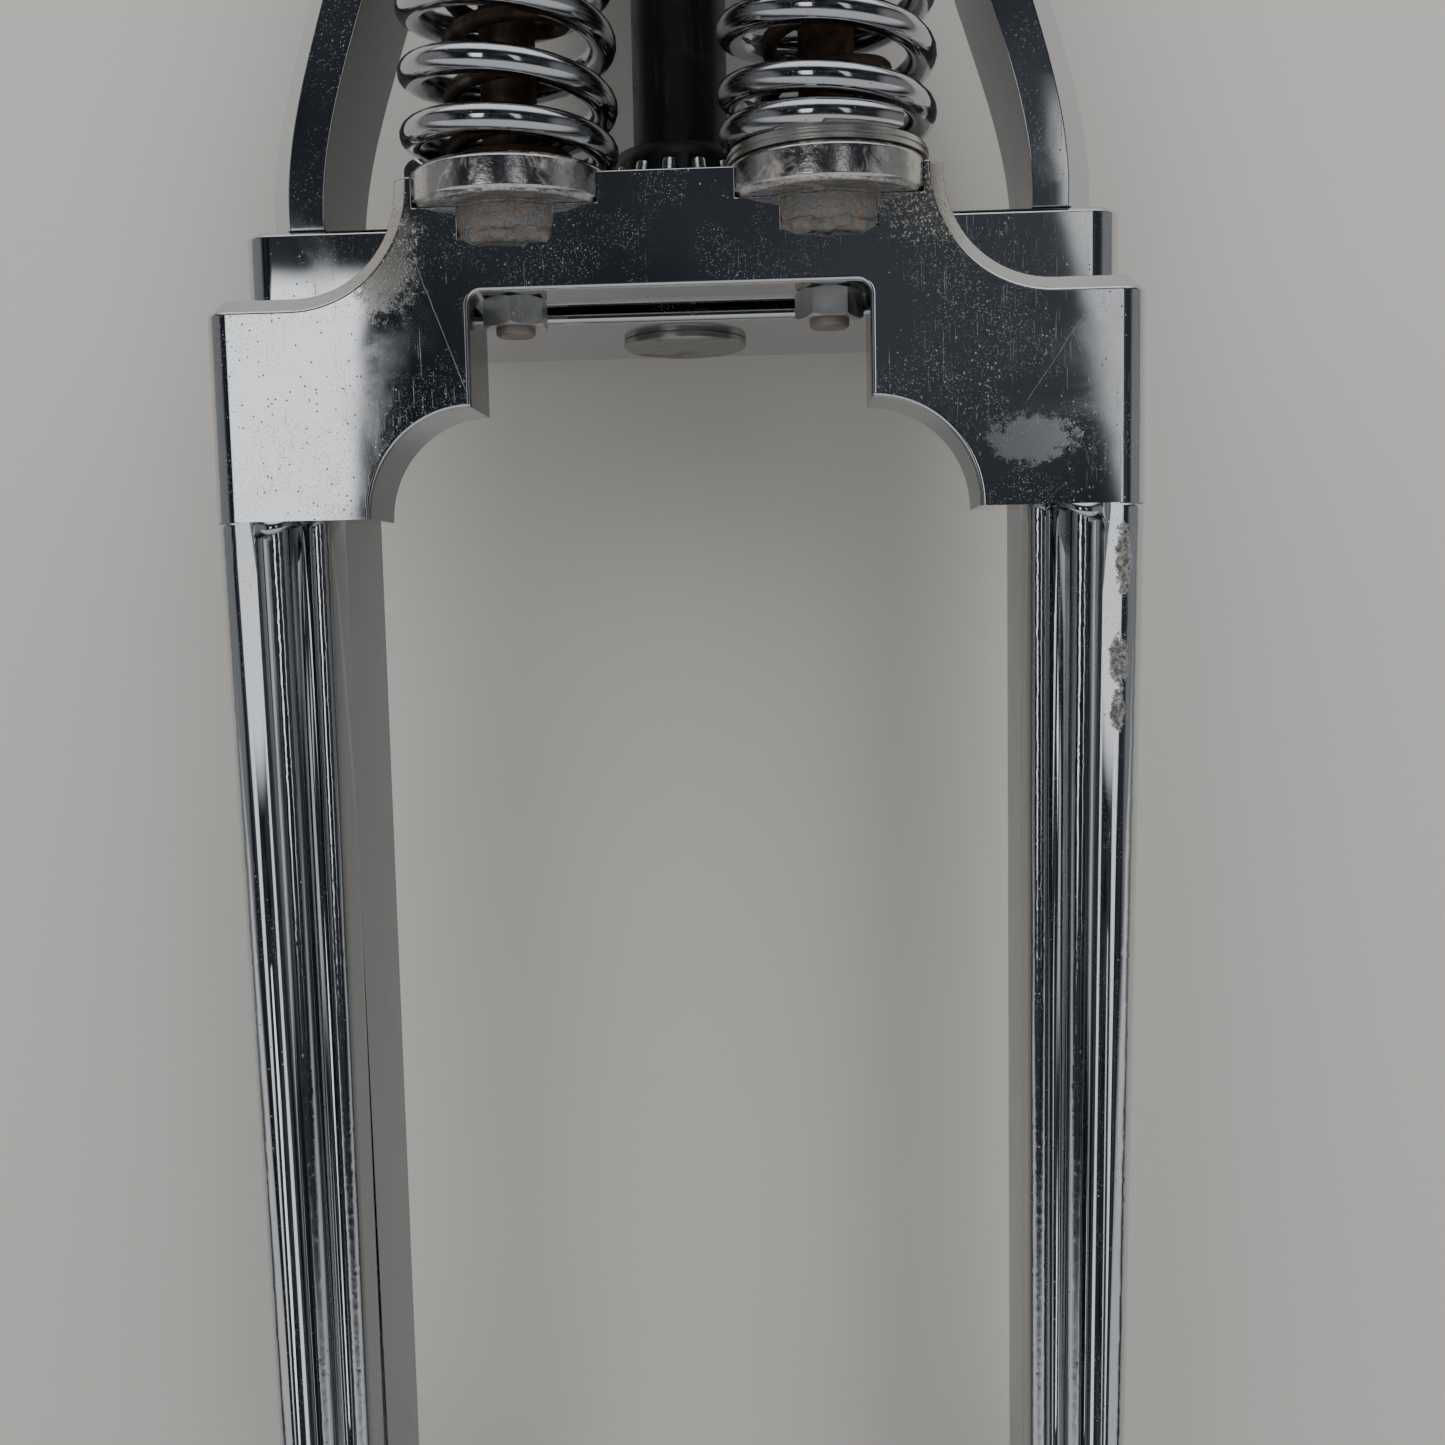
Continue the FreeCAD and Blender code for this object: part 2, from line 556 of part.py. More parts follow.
def crown_outline():
    """Right half of the crown's front outline, from the top middle round to the web."""
    shoulder_x = CROWN_EAR_X + CROWN_SCOOP_R
    scoop_z = CROWN_SHOULDER_Z + CROWN_SCOOP_R
    low_z = CROWN_NOTCH_Z - CROWN_SCOOP_R
    low_x = CROWN_NOTCH_X + CROWN_SCOOP_R
    bend = CROWN_SCOOP_R * math.sqrt(0.5)
    corner = CROWN_CORNER_R
    bite = corner * (1 - math.sqrt(0.5))

    def at(x, z):
        return vec(x, FRONT_FACE_Y, z)

    def line(a, b):
        return Part.LineSegment(at(*a), at(*b)).toShape()

    def arc(a, b, c):
        return Part.Arc(at(*a), at(*b), at(*c)).toShape()

    ear, scoop = (CROWN_EAR_X, CROWN_TOP_Z), (CROWN_EAR_X, scoop_z)
    scoop_mid, shoulder = (shoulder_x - bend, scoop_z - bend), (shoulder_x, CROWN_SHOULDER_Z)
    side, foot = (CROWN_HALF_WIDTH, CROWN_SHOULDER_Z), (CROWN_HALF_WIDTH, CROWN_BOTTOM_Z)
    inner_foot, arch = (low_x, CROWN_BOTTOM_Z), (low_x, low_z)
    arch_mid, notch = (CROWN_NOTCH_X + bend, low_z + bend), (CROWN_NOTCH_X, CROWN_NOTCH_Z)
    wall = (CROWN_NOTCH_X, CROWN_WEB_Z - corner)
    wall_mid, web = (CROWN_NOTCH_X - bite, CROWN_WEB_Z - bite), (CROWN_NOTCH_X - corner, CROWN_WEB_Z)
    return [line((0, CROWN_TOP_Z), ear), line(ear, scoop), arc(scoop, scoop_mid, shoulder),
            line(shoulder, side), line(side, foot), line(foot, inner_foot), line(inner_foot, arch),
            arc(arch, arch_mid, notch), line(notch, wall), arc(wall, wall_mid, web),
            line(web, (0, CROWN_WEB_Z))]


def edges_at(shape, **place):
    """Edges that lie wholly at the given coordinates, such as X=10."""
    found = []
    for edge in shape.Edges:
        bounds = edge.BoundBox
        if all(abs(getattr(bounds, axis + end) - value) < 1e-4
               for axis, value in place.items() for end in ("Min", "Max")):
            found.append(edge)
    return found


def fork_crown():
    """Forged crown: a web under the spring perches and a deep block at each leg."""
    half = Part.Wire(crown_outline())
    half = half.fuse(half.mirror(vec(0, 0, 0), vec(1, 0, 0)))
    outline = Part.Wire(Part.__sortEdges__(half.Edges))
    body = Part.Face(outline).extrude(vec(0, CROWN_DEPTH, 0)).removeSplitter()
    for side in (-1, 1):
        upright_edges = edges_at(body, X=side * CROWN_HALF_WIDTH, Y=FRONT_FACE_Y)
        body = body.makeFillet(CROWN_EDGE_R, upright_edges)
    body = body.makeChamfer(CROWN_TOP_BEVEL, edges_at(body, Y=FRONT_FACE_Y, Z=CROWN_SHOULDER_Z))
    arches = [e for e in edges_at(body, Y=FRONT_FACE_Y)
              if CROWN_BOTTOM_Z + 1e-3 < e.CenterOfMass.z < CROWN_WEB_Z + 1e-3
              and abs(e.CenterOfMass.x) < CROWN_NOTCH_X + CROWN_SCOOP_R + 1e-3]
    body = body.makeChamfer(CROWN_EDGE_BREAK, arches)
    for side in (-1, 1):
        x = side * ROD_X
        body = body.cut(upright(COLLAR_R, x, ROD_Y, COLLAR_BOTTOM_Z, CROWN_TOP_Z + 1))
        body = body.cut(upright(HUB_R, x, ROD_Y, COLLAR_BOTTOM_Z - HUB_HEIGHT, COLLAR_BOTTOM_Z))
        body = body.cut(upright(ROD_FOOT_THREAD_R, x, ROD_Y, CROWN_WEB_Z, COLLAR_BOTTOM_Z))
    return body


def front_leg_section(z, width, depth):
    """Outline of a front leg: inner bead, groove, outer bead, then the flush outer rail."""
    inner, share = FRONT_LEG_INNER_X, width / FRONT_LEG_WIDTH
    back = FRONT_LEG_BACK_Y
    deep = depth / FRONT_LEG_DEPTH

    def at(across, proud):
        return vec(inner + across * share, back - proud * deep, z)

    def line(a, b):
        return Part.LineSegment(at(*a), at(*b)).toShape()

    def arc(a, b, c):
        return Part.Arc(at(*a), at(*b), at(*c)).toShape()

    face, side = FRONT_LEG_DEPTH, FRONT_LEG_WIDTH
    return Part.Wire([
        line((0, 0), (0, face - 7.5)),
        arc((0, face - 7.5), (2.4, face - 5.0), (5.2, face - 7.5)),
        line((5.2, face - 7.5), (5.4, face - 10.0)),
        line((5.4, face - 10.0), (9.4, face - 10.0)),
        line((9.4, face - 10.0), (9.6, face - 6.0)),
        arc((9.6, face - 6.0), (12.6, face - 3.6), (15.4, face - 5.0)),
        line((15.4, face - 5.0), (16.2, face)),
        line((16.2, face), (side - 7.0, face)),
        arc((side - 7.0, face), (side - 2.0, face - 2.2), (side, face - 7.0)),
        line((side, face - 7.0), (side, 0)),
        line((side, 0), (0, 0))])


def front_leg():
    """Front leg from the crown down to the eye of its rocker pivot."""
    top = front_leg_section(CROWN_BOTTOM_Z, FRONT_LEG_WIDTH, FRONT_LEG_DEPTH)
    foot = front_leg_section(FRONT_PIVOT_Z, FRONT_LEG_FOOT_WIDTH, FRONT_LEG_FOOT_DEPTH)
    shaft = Part.makeLoft([top, foot], True, True)
    rail = FRONT_LEG_INNER_X + 16.0
    runout = [vec(rail - 10, FRONT_FACE_Y, CROWN_BOTTOM_Z), vec(rail, FRONT_FACE_Y, CROWN_BOTTOM_Z),
              vec(rail, FRONT_FACE_Y, CROWN_BOTTOM_Z - RUNOUT_DROP)]
    body = shaft.fuse(prism(runout, vec(0, FRONT_LEG_DEPTH / 2 + 1, 0)))
    body = body.fuse(eye_boss(FRONT_EYE_R, FRONT_EYE_X, FRONT_PIVOT_Y, FRONT_PIVOT_Z))
    body = body.cut(crosswise(BUSH_R, *FRONT_EYE_X, FRONT_PIVOT_Y, FRONT_PIVOT_Z))
    return body.cut(nipple_seat(FRONT_EYE_MID_X, FRONT_PIVOT_Y, FRONT_PIVOT_Z, FRONT_EYE_R, -1))


def spring_perch():
    """Turned perch: a broad collar stepped over the yoke, and a hub let into the crown."""
    z, top = COLLAR_BOTTOM_Z, COLLAR_TOP_Z
    hub = z - HUB_HEIGHT
    body = revolve([(0, hub), (HUB_R - 3, hub), (HUB_R - 0.8, hub + 1.2), (HUB_R, hub + 3), (HUB_R, z),
                    (COLLAR_R - 1.2, z), (COLLAR_R, z + 1.2), (COLLAR_R, top - 1.2),
                    (COLLAR_R - 1.2, top), (SPIGOT_R, top), (SPIGOT_R, top + SPIGOT_HEIGHT),
                    (0, top + SPIGOT_HEIGHT)], ROD_X, ROD_Y)
    body = body.cut(upright(ROD_R, ROD_X, ROD_Y, z, top + SPIGOT_HEIGHT))
    body = body.cut(upright(ROD_FOOT_THREAD_R, ROD_X, ROD_Y, hub, z))
    reach = COLLAR_R + 1
    return body.cut(box(ROD_X - reach, ROD_X + reach, YOKE_FRONT_Y - REST_GAP, ROD_Y + reach,
                        z - 1, REST_GAP))


def perch_shims():
    """Thin shims that take up the shorter spring's slack on the right perch."""
    return group([ring(COLLAR_R - 0.3 - 0.4 * (k % 2), SPIGOT_R, ROD_X, ROD_Y,
                       COLLAR_TOP_Z + k * SHIM_THICK, COLLAR_TOP_Z + (k + 1) * SHIM_THICK)
                  for k in range(SHIM_COUNT)])


def spring_rod():
    """Rod from under the crown's web, up through the springs and the bridge."""
    foot = CROWN_WEB_Z - FOOT_NUT_THICK - ROD_FOOT_PROUD
    head = RETAINER_Z + RETAINER_THICK + ROD_NUT_HEX
    return revolve([(0, foot), (ROD_FOOT_THREAD_R - 0.6, foot), (ROD_FOOT_THREAD_R, foot + 0.6),
                    (ROD_FOOT_THREAD_R, COLLAR_BOTTOM_Z), (ROD_R, COLLAR_BOTTOM_Z), (ROD_R, RETAINER_Z),
                    (ROD_HEAD_THREAD_R, RETAINER_Z), (ROD_HEAD_THREAD_R, head - 0.6),
                    (ROD_HEAD_THREAD_R - 0.6, head), (0, head)], ROD_X, ROD_Y)


def rod_foot_nuts():
    """Hexagon nuts under the web, one turned a corner further than the other."""
    nuts = []
    for side, turn in ((-1, math.pi / 6), (1, 0.0)):
        nut = hexagon(FOOT_NUT_FLATS, CROWN_WEB_Z - FOOT_NUT_THICK, CROWN_WEB_Z, side * ROD_X, ROD_Y, turn)
        nuts.append(nut.cut(upright(ROD_FOOT_THREAD_R, side * ROD_X, ROD_Y,
                                    CROWN_WEB_Z - FOOT_NUT_THICK, CROWN_WEB_Z)))
    return group(nuts)


def rod_retainer():
    """Cupped washer on the rod's shoulder, over the rebound spring."""
    z, top = RETAINER_Z, RETAINER_Z + RETAINER_THICK
    return revolve([(ROD_HEAD_THREAD_R, z), (RETAINER_R - 0.8, z), (RETAINER_R, z + 0.8),
                    (RETAINER_R - 1.5, top), (ROD_HEAD_THREAD_R, top)], ROD_X, ROD_Y)


def rod_cap_nut():
    """Domed nut on the rod's top thread."""
    return cap_nut(ROD_NUT_FLATS, ROD_NUT_HEX, ROD_NUT_DOME, ROD_HEAD_THREAD_R, ROD_NUT_HEX,
                   ROD_X, ROD_Y, RETAINER_Z + RETAINER_THICK)


# ---------------------------------------------------------------- rockers and pivots

def tangent_web(y0, z0, r0, y1, z1, r1, x0, x1):
    """Straight-sided web between two bosses, along their common tangents."""
    reach = math.hypot(y1 - y0, z1 - z0)
    along = math.atan2(z1 - z0, y1 - y0)
    spread = math.acos((r0 - r1) / reach)
    points = []
    for y, z, radius, turn in ((y0, z0, r0, spread), (y1, z1, r1, spread),
                               (y1, z1, r1, -spread), (y0, z0, r0, -spread)):
        points.append(vec(x0, y + radius * math.cos(along + turn), z + radius * math.sin(along + turn)))
    return prism(points, vec(x1 - x0, 0, 0))


def rocker():
    """Forged link with three bores: rear pivot, front pivot and wheel axle."""
    x0, x1 = ROCKER_INNER_X, ROCKER_OUTER_X
    bosses = [(PIVOT_Y, PIVOT_Z, ROCKER_PIVOT_BOSS_R), (FRONT_PIVOT_Y, FRONT_PIVOT_Z, ROCKER_PIVOT_BOSS_R),
              (AXLE_Y, AXLE_Z, ROCKER_AXLE_BOSS_R)]
    body = tangent_web(*bosses[0], *bosses[2], x0, x1)
    for y, z, radius in bosses:
        body = body.fuse(crosswise(radius, x0, x1, y, z))
    body = body.removeSplitter()
    rims = edges_at(body, X=x0) + edges_at(body, X=x1)
    body = body.makeChamfer(1.0, rims)
    for y, z, eye in pivots():
        face = eye[0] - REST_GAP
        body = body.fuse(crosswise(ROCKER_PIVOT_BOSS_R - 2, x0 + 1, face, y, z))
        body = body.cut(crosswise(STUD_R, x0, face, y, z))
    return body.cut(crosswise(AXLE_BORE_R, x0, x1, AXLE_Y, AXLE_Z))


def pivots():
    """Place of each pivot, with the inner and outer face of the eye that turns on it."""
    return (PIVOT_Y, PIVOT_Z, REAR_EYE_X), (FRONT_PIVOT_Y, FRONT_PIVOT_Z, FRONT_EYE_X)


def pivot_studs():
    """Studs pressed in the rocker, with a flat head inside and a thread outside."""
    studs = []
    for y, z, eye in pivots():
        shoulder = eye[1] + REST_GAP
        end = shoulder + STUD_WASHER_THICK + STUD_NUT_HEX
        stud = crosswise(STUD_HEAD_R, ROCKER_INNER_X - STUD_HEAD_THICK, ROCKER_INNER_X, y, z)
        stud = stud.fuse(crosswise(STUD_R, ROCKER_INNER_X, shoulder, y, z))
        studs.append(stud.fuse(crosswise(STUD_THREAD_R, shoulder, end, y, z)))
    return group(studs)


def pivot_washers():
    """Thrust washers on the studs, just clear of the eyes."""
    washers = []
    for y, z, eye in pivots():
        start = eye[1] + REST_GAP
        washer = crosswise(STUD_WASHER_R, start, start + STUD_WASHER_THICK, y, z)
        washers.append(washer.cut(crosswise(STUD_THREAD_R, start, start + STUD_WASHER_THICK, y, z)))
    return group(washers)


def pivot_nuts():
    """Domed nuts on the studs."""
    nuts = []
    for y, z, eye in pivots():
        nut = cap_nut(STUD_NUT_FLATS, STUD_NUT_HEX, STUD_NUT_DOME, STUD_THREAD_R, STUD_NUT_HEX, 0, 0, 0)
        nuts.append(laid_along_x(nut, eye[1] + REST_GAP + STUD_WASHER_THICK, y, z))
    return group(nuts)


def pivot_bush(span, y, z):
    """Bush pressed in an eye, with a running fit on the stud."""
    return crosswise(BUSH_R, *span, y, z).cut(crosswise(BUSH_BORE_R, *span, y, z))


def nipple_seat(x, y, z, eye_r, facing):
    """Drilled hole from the eye's outside to its bush, with a spot face."""
    depth = 1.0
    hole = Part.makeCylinder(GREASE_NIPPLE_R, eye_r - BUSH_R + 1, vec(x, y + facing * (BUSH_R - 1), z),
                             vec(0, facing, 0))
    spot = Part.makeCylinder(GREASE_NIPPLE_R + 2, 4, vec(x, y + facing * (eye_r - depth), z),
                             vec(0, facing, 0))
    return hole.fuse(spot)


def grease_nipple(x, y, z, eye_r, facing):
    """Grease nipple screwed in an eye: stem, hexagon, neck and ball."""
    depth = 1.0
    stem_len = eye_r - depth - BUSH_R - 1
    profile = [(0, -stem_len), (GREASE_NIPPLE_R, -stem_len), (GREASE_NIPPLE_R, 0), (3.2, 0), (3.2, 2.6),
               (1.5, 3.2), (1.3, 5.0), (1.9, 5.8), (1.9, 6.6), (1.2, 7.4), (0, 7.4)]
    nipple = revolve(profile)
    nipple.rotate(vec(0, 0, 0), vec(1, 0, 0), -90 * facing)
    nipple.translate(vec(x, y + facing * (eye_r - depth), z))
    return nipple


# ---------------------------------------------------------------- nodes

def paired(name, shape):
    """Left and right nodes of a mirrored pair."""
    left, right = both_sides(shape)
    return {name + "_left": left, name + "_right": right}


def spring_pair(name, radius, wire, turns):
    """Left and right springs; the right one stands on the shims."""
    shim_top = COLLAR_TOP_Z + SHIM_COUNT * SHIM_THICK
    return {name + "_left": coil(radius, wire, turns, -ROD_X, ROD_Y, COLLAR_TOP_Z, SEAT_Z),
            name + "_right": coil(radius, wire, turns, ROD_X, ROD_Y, shim_top, SEAT_Z)}


def build():
    """Every node of the fork, by name."""
    lower_z, upper_z = SHIELD_THICK, UPPER_SHIELD_Z - SHIELD_THICK
    cone, cage = bearing_cone(), roller_cage()
    rollers = group(spaced_round(tapered_roller()))
    nodes = {
        "rigid_yoke": rigid_yoke(),
        "steering_stem": steering_stem(),
        "spring_bridge": spring_bridge(),
        "bridge_bushes": group(both_sides(bridge_bush())),
        "upper_spring_seats": group(both_sides(upper_spring_seat())),
        "top_bracket": top_bracket(),
        "bracket_bolts": bracket_bolts(),
        "bracket_washers": bracket_washers(),
        "stem_washer": stem_washer(),
        "stem_top_nut": stem_top_nut(),
        "stem_adjuster": stem_adjuster(),
        "lower_dust_shield": ring(SHIELD_R, STEM_R, 0, 0, 0, SHIELD_THICK),
        "lower_bearing_cone": raised(cone, lower_z),
        "lower_bearing_rollers": raised(rollers, lower_z),
        "lower_bearing_cage": raised(cage, lower_z),
        "upper_dust_shield": ring(SHIELD_R, STEM_R, 0, 0, upper_z, UPPER_SHIELD_Z),
        "upper_bearing_cone": flipped(cone, upper_z),
        "upper_bearing_rollers": flipped(rollers, upper_z),
        "upper_bearing_cage": flipped(cage, upper_z),
        "rear_pivot_bushes": group(both_sides(pivot_bush(REAR_EYE_X, PIVOT_Y, PIVOT_Z))),
        "front_pivot_bushes": group(both_sides(pivot_bush(FRONT_EYE_X, FRONT_PIVOT_Y, FRONT_PIVOT_Z))),
        "rear_grease_nipples": group(both_sides(
            grease_nipple(REAR_EYE_MID_X, PIVOT_Y, PIVOT_Z, REAR_EYE_R, 1))),
        "front_grease_nipples": group(both_sides(
            grease_nipple(FRONT_EYE_MID_X, FRONT_PIVOT_Y, FRONT_PIVOT_Z, FRONT_EYE_R, -1))),
        "fork_crown": fork_crown(),
        "perch_shims": perch_shims(),
        "rod_foot_nuts": rod_foot_nuts(),
        "rod_retainers": group(both_sides(rod_retainer())),
        "rod_cap_nuts": group(both_sides(rod_cap_nut())),
    }
    for name, shape in (("rigid_leg", rigid_leg()), ("upper_arm", upper_arm()), ("front_leg", front_leg()),
                        ("spring_perch", spring_perch()), ("spring_rod", spring_rod()), ("rocker", rocker()),
                        ("pivot_studs", pivot_studs()), ("pivot_washers", pivot_washers()),
                        ("pivot_nuts", pivot_nuts())):
        nodes.update(paired(name, shape))
    nodes.update(spring_pair("main_spring", MAIN_SPRING_R, MAIN_WIRE_R, MAIN_TURNS))
    nodes.update(spring_pair("inner_spring", INNER_SPRING_R, INNER_WIRE_R, INNER_TURNS))
    rebound = (REBOUND_SPRING_R, REBOUND_WIRE_R, REBOUND_TURNS)
    for name, side in (("rebound_spring_left", -1), ("rebound_spring_right", 1)):
        nodes[name] = coil(*rebound, side * ROD_X, BRIDGE_ROD_Y, REBOUND_Z, REBOUND_Z + REBOUND_HEIGHT)
    return nodes


def main():
    """Write one STEP file for each node."""
    os.makedirs("parts", exist_ok=True)
    for name, shape in build().items():
        shape.exportStep(os.path.join("parts", name + ".step"))
        print(f"{name}: {len(shape.Solids)} solid(s), {shape.Volume / 1000:.1f} cm3, valid {shape.isValid()}")


main()
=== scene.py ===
import json
import logging
import math
from dataclasses import dataclass
from enum import Enum
from typing import Iterable, Sequence, Union

import bmesh
import bpy
from mathutils import Matrix, Vector, noise


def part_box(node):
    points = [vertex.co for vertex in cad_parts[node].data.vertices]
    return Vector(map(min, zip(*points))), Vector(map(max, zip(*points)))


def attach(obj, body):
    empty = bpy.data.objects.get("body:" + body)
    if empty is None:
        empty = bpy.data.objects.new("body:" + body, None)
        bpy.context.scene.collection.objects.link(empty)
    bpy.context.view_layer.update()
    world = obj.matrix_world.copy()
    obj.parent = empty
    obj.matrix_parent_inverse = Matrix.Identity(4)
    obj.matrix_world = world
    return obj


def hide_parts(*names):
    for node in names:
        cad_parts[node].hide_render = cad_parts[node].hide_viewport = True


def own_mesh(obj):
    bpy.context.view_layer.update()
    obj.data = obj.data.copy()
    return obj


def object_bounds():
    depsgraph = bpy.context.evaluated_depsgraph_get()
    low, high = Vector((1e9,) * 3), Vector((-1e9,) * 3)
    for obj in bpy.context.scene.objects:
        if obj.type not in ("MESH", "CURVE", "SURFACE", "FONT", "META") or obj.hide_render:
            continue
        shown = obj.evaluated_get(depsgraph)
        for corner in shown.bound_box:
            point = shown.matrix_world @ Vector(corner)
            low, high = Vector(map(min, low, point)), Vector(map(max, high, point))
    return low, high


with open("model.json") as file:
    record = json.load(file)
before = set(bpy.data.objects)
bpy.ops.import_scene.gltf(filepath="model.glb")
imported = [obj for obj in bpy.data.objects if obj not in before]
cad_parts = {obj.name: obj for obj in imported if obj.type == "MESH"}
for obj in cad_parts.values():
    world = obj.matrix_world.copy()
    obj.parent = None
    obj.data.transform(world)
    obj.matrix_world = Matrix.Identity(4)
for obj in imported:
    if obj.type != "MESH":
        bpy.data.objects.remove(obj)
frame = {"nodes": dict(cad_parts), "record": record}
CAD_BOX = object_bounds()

LOG = logging.getLogger("springer_fork")
MM = 0.001
Number = Union[int, float]


class Side(Enum):
    """Side of the fork, by the sign of its X coordinate."""
    LEFT = -1
    RIGHT = 1

    @property
    def word(self) -> str:
        """Ending used in the names of nodes."""
        return self.name.lower()


# ------------------------------------------------------------------ shader tools

class Sock:
    """A shader socket that takes part in arithmetic."""

    def __init__(self, graph: "Graph", socket: bpy.types.NodeSocket) -> None:
        """Wrap one output socket of a graph."""
        self.graph = graph
        self.socket = socket

    def _math(self, operation: str, first: object, second: object) -> "Sock":
        """Add a Math node for two operands."""
        return self.graph.node("ShaderNodeMath", {"operation": operation}, [first, second])

    def __add__(self, other: object) -> "Sock":
        """Sum."""
        return self._math("ADD", self, other)

    __radd__ = __add__

    def __sub__(self, other: object) -> "Sock":
        """Difference."""
        return self._math("SUBTRACT", self, other)

    def __rsub__(self, other: object) -> "Sock":
        """Reflected difference."""
        return self._math("SUBTRACT", other, self)

    def __mul__(self, other: object) -> "Sock":
        """Product."""
        return self._math("MULTIPLY", self, other)

    __rmul__ = __mul__

    def __truediv__(self, other: object) -> "Sock":
        """Quotient."""
        return self._math("DIVIDE", self, other)

    def clamped(self) -> "Sock":
        """The value kept between 0 and 1."""
        return self.graph.node("ShaderNodeClamp", {}, [self, 0.0, 1.0])

    def scaled(self, factor: float, shift: float) -> "Sock":
        """The value times a factor, plus a shift."""
        return self * factor + shift

    def larger(self, other: object) -> "Sock":
        """The larger of two values."""
        return self._math("MAXIMUM", self, other)

    def step(self, low: Number, high: Number) -> "Sock":
        """Smooth step from 0 at low to 1 at high; high may be the smaller one."""
        return self.graph.node("ShaderNodeMapRange", {"interpolation_type": "SMOOTHSTEP"},
                               [self, float(low), float(high), 0.0, 1.0])


class Tree:
    """Node tree that is filled from nothing."""

    def __init__(self, owner: Union[bpy.types.Material, bpy.types.World]) -> None:
        """Clear the owner's tree.

        Args:
            owner: The material or world that the tree belongs to.
        """
        owner.use_nodes = True
        self.tree = owner.node_tree
        self.tree.nodes.clear()

    def node(self, kind: str, settings: dict, inputs: object,
             output: Union[int, str, None] = 0) -> Union[Sock, None]:
        """Add any node.

        Args:
            kind: Node type, such as ShaderNodeMath.
            settings: Node properties.
            inputs: Socket values or links, as a list in order or a dict by name.
            output: The output socket to return.

        Returns:
            The wrapped output socket.
        """
        made = self.tree.nodes.new(kind)
        for key, value in settings.items():
            setattr(made, key, value)
        pairs = enumerate(inputs) if isinstance(inputs, list) else inputs.items()
        for key, value in pairs:
            self.plug(made.inputs[key], value)
        return Sock(self, made.outputs[output]) if output is not None else None

    def plug(self, target: bpy.types.NodeSocket, value: object) -> None:
        """Link or set one input socket."""
        if isinstance(value, Sock):
            self.tree.links.new(value.socket, target)
        elif isinstance(value, tuple) and target.type == "RGBA":
            target.default_value = (*value, 1.0)
        else:
            target.default_value = value

    def mix(self, share: object, first: object, second: object) -> Sock:
        """Blend of two colours."""
        made = self.tree.nodes.new("ShaderNodeMix")
        made.data_type = "RGBA"
        for key, value in ((0, share), (6, first), (7, second)):
            self.plug(made.inputs[key], value)
        return Sock(self, made.outputs[2])


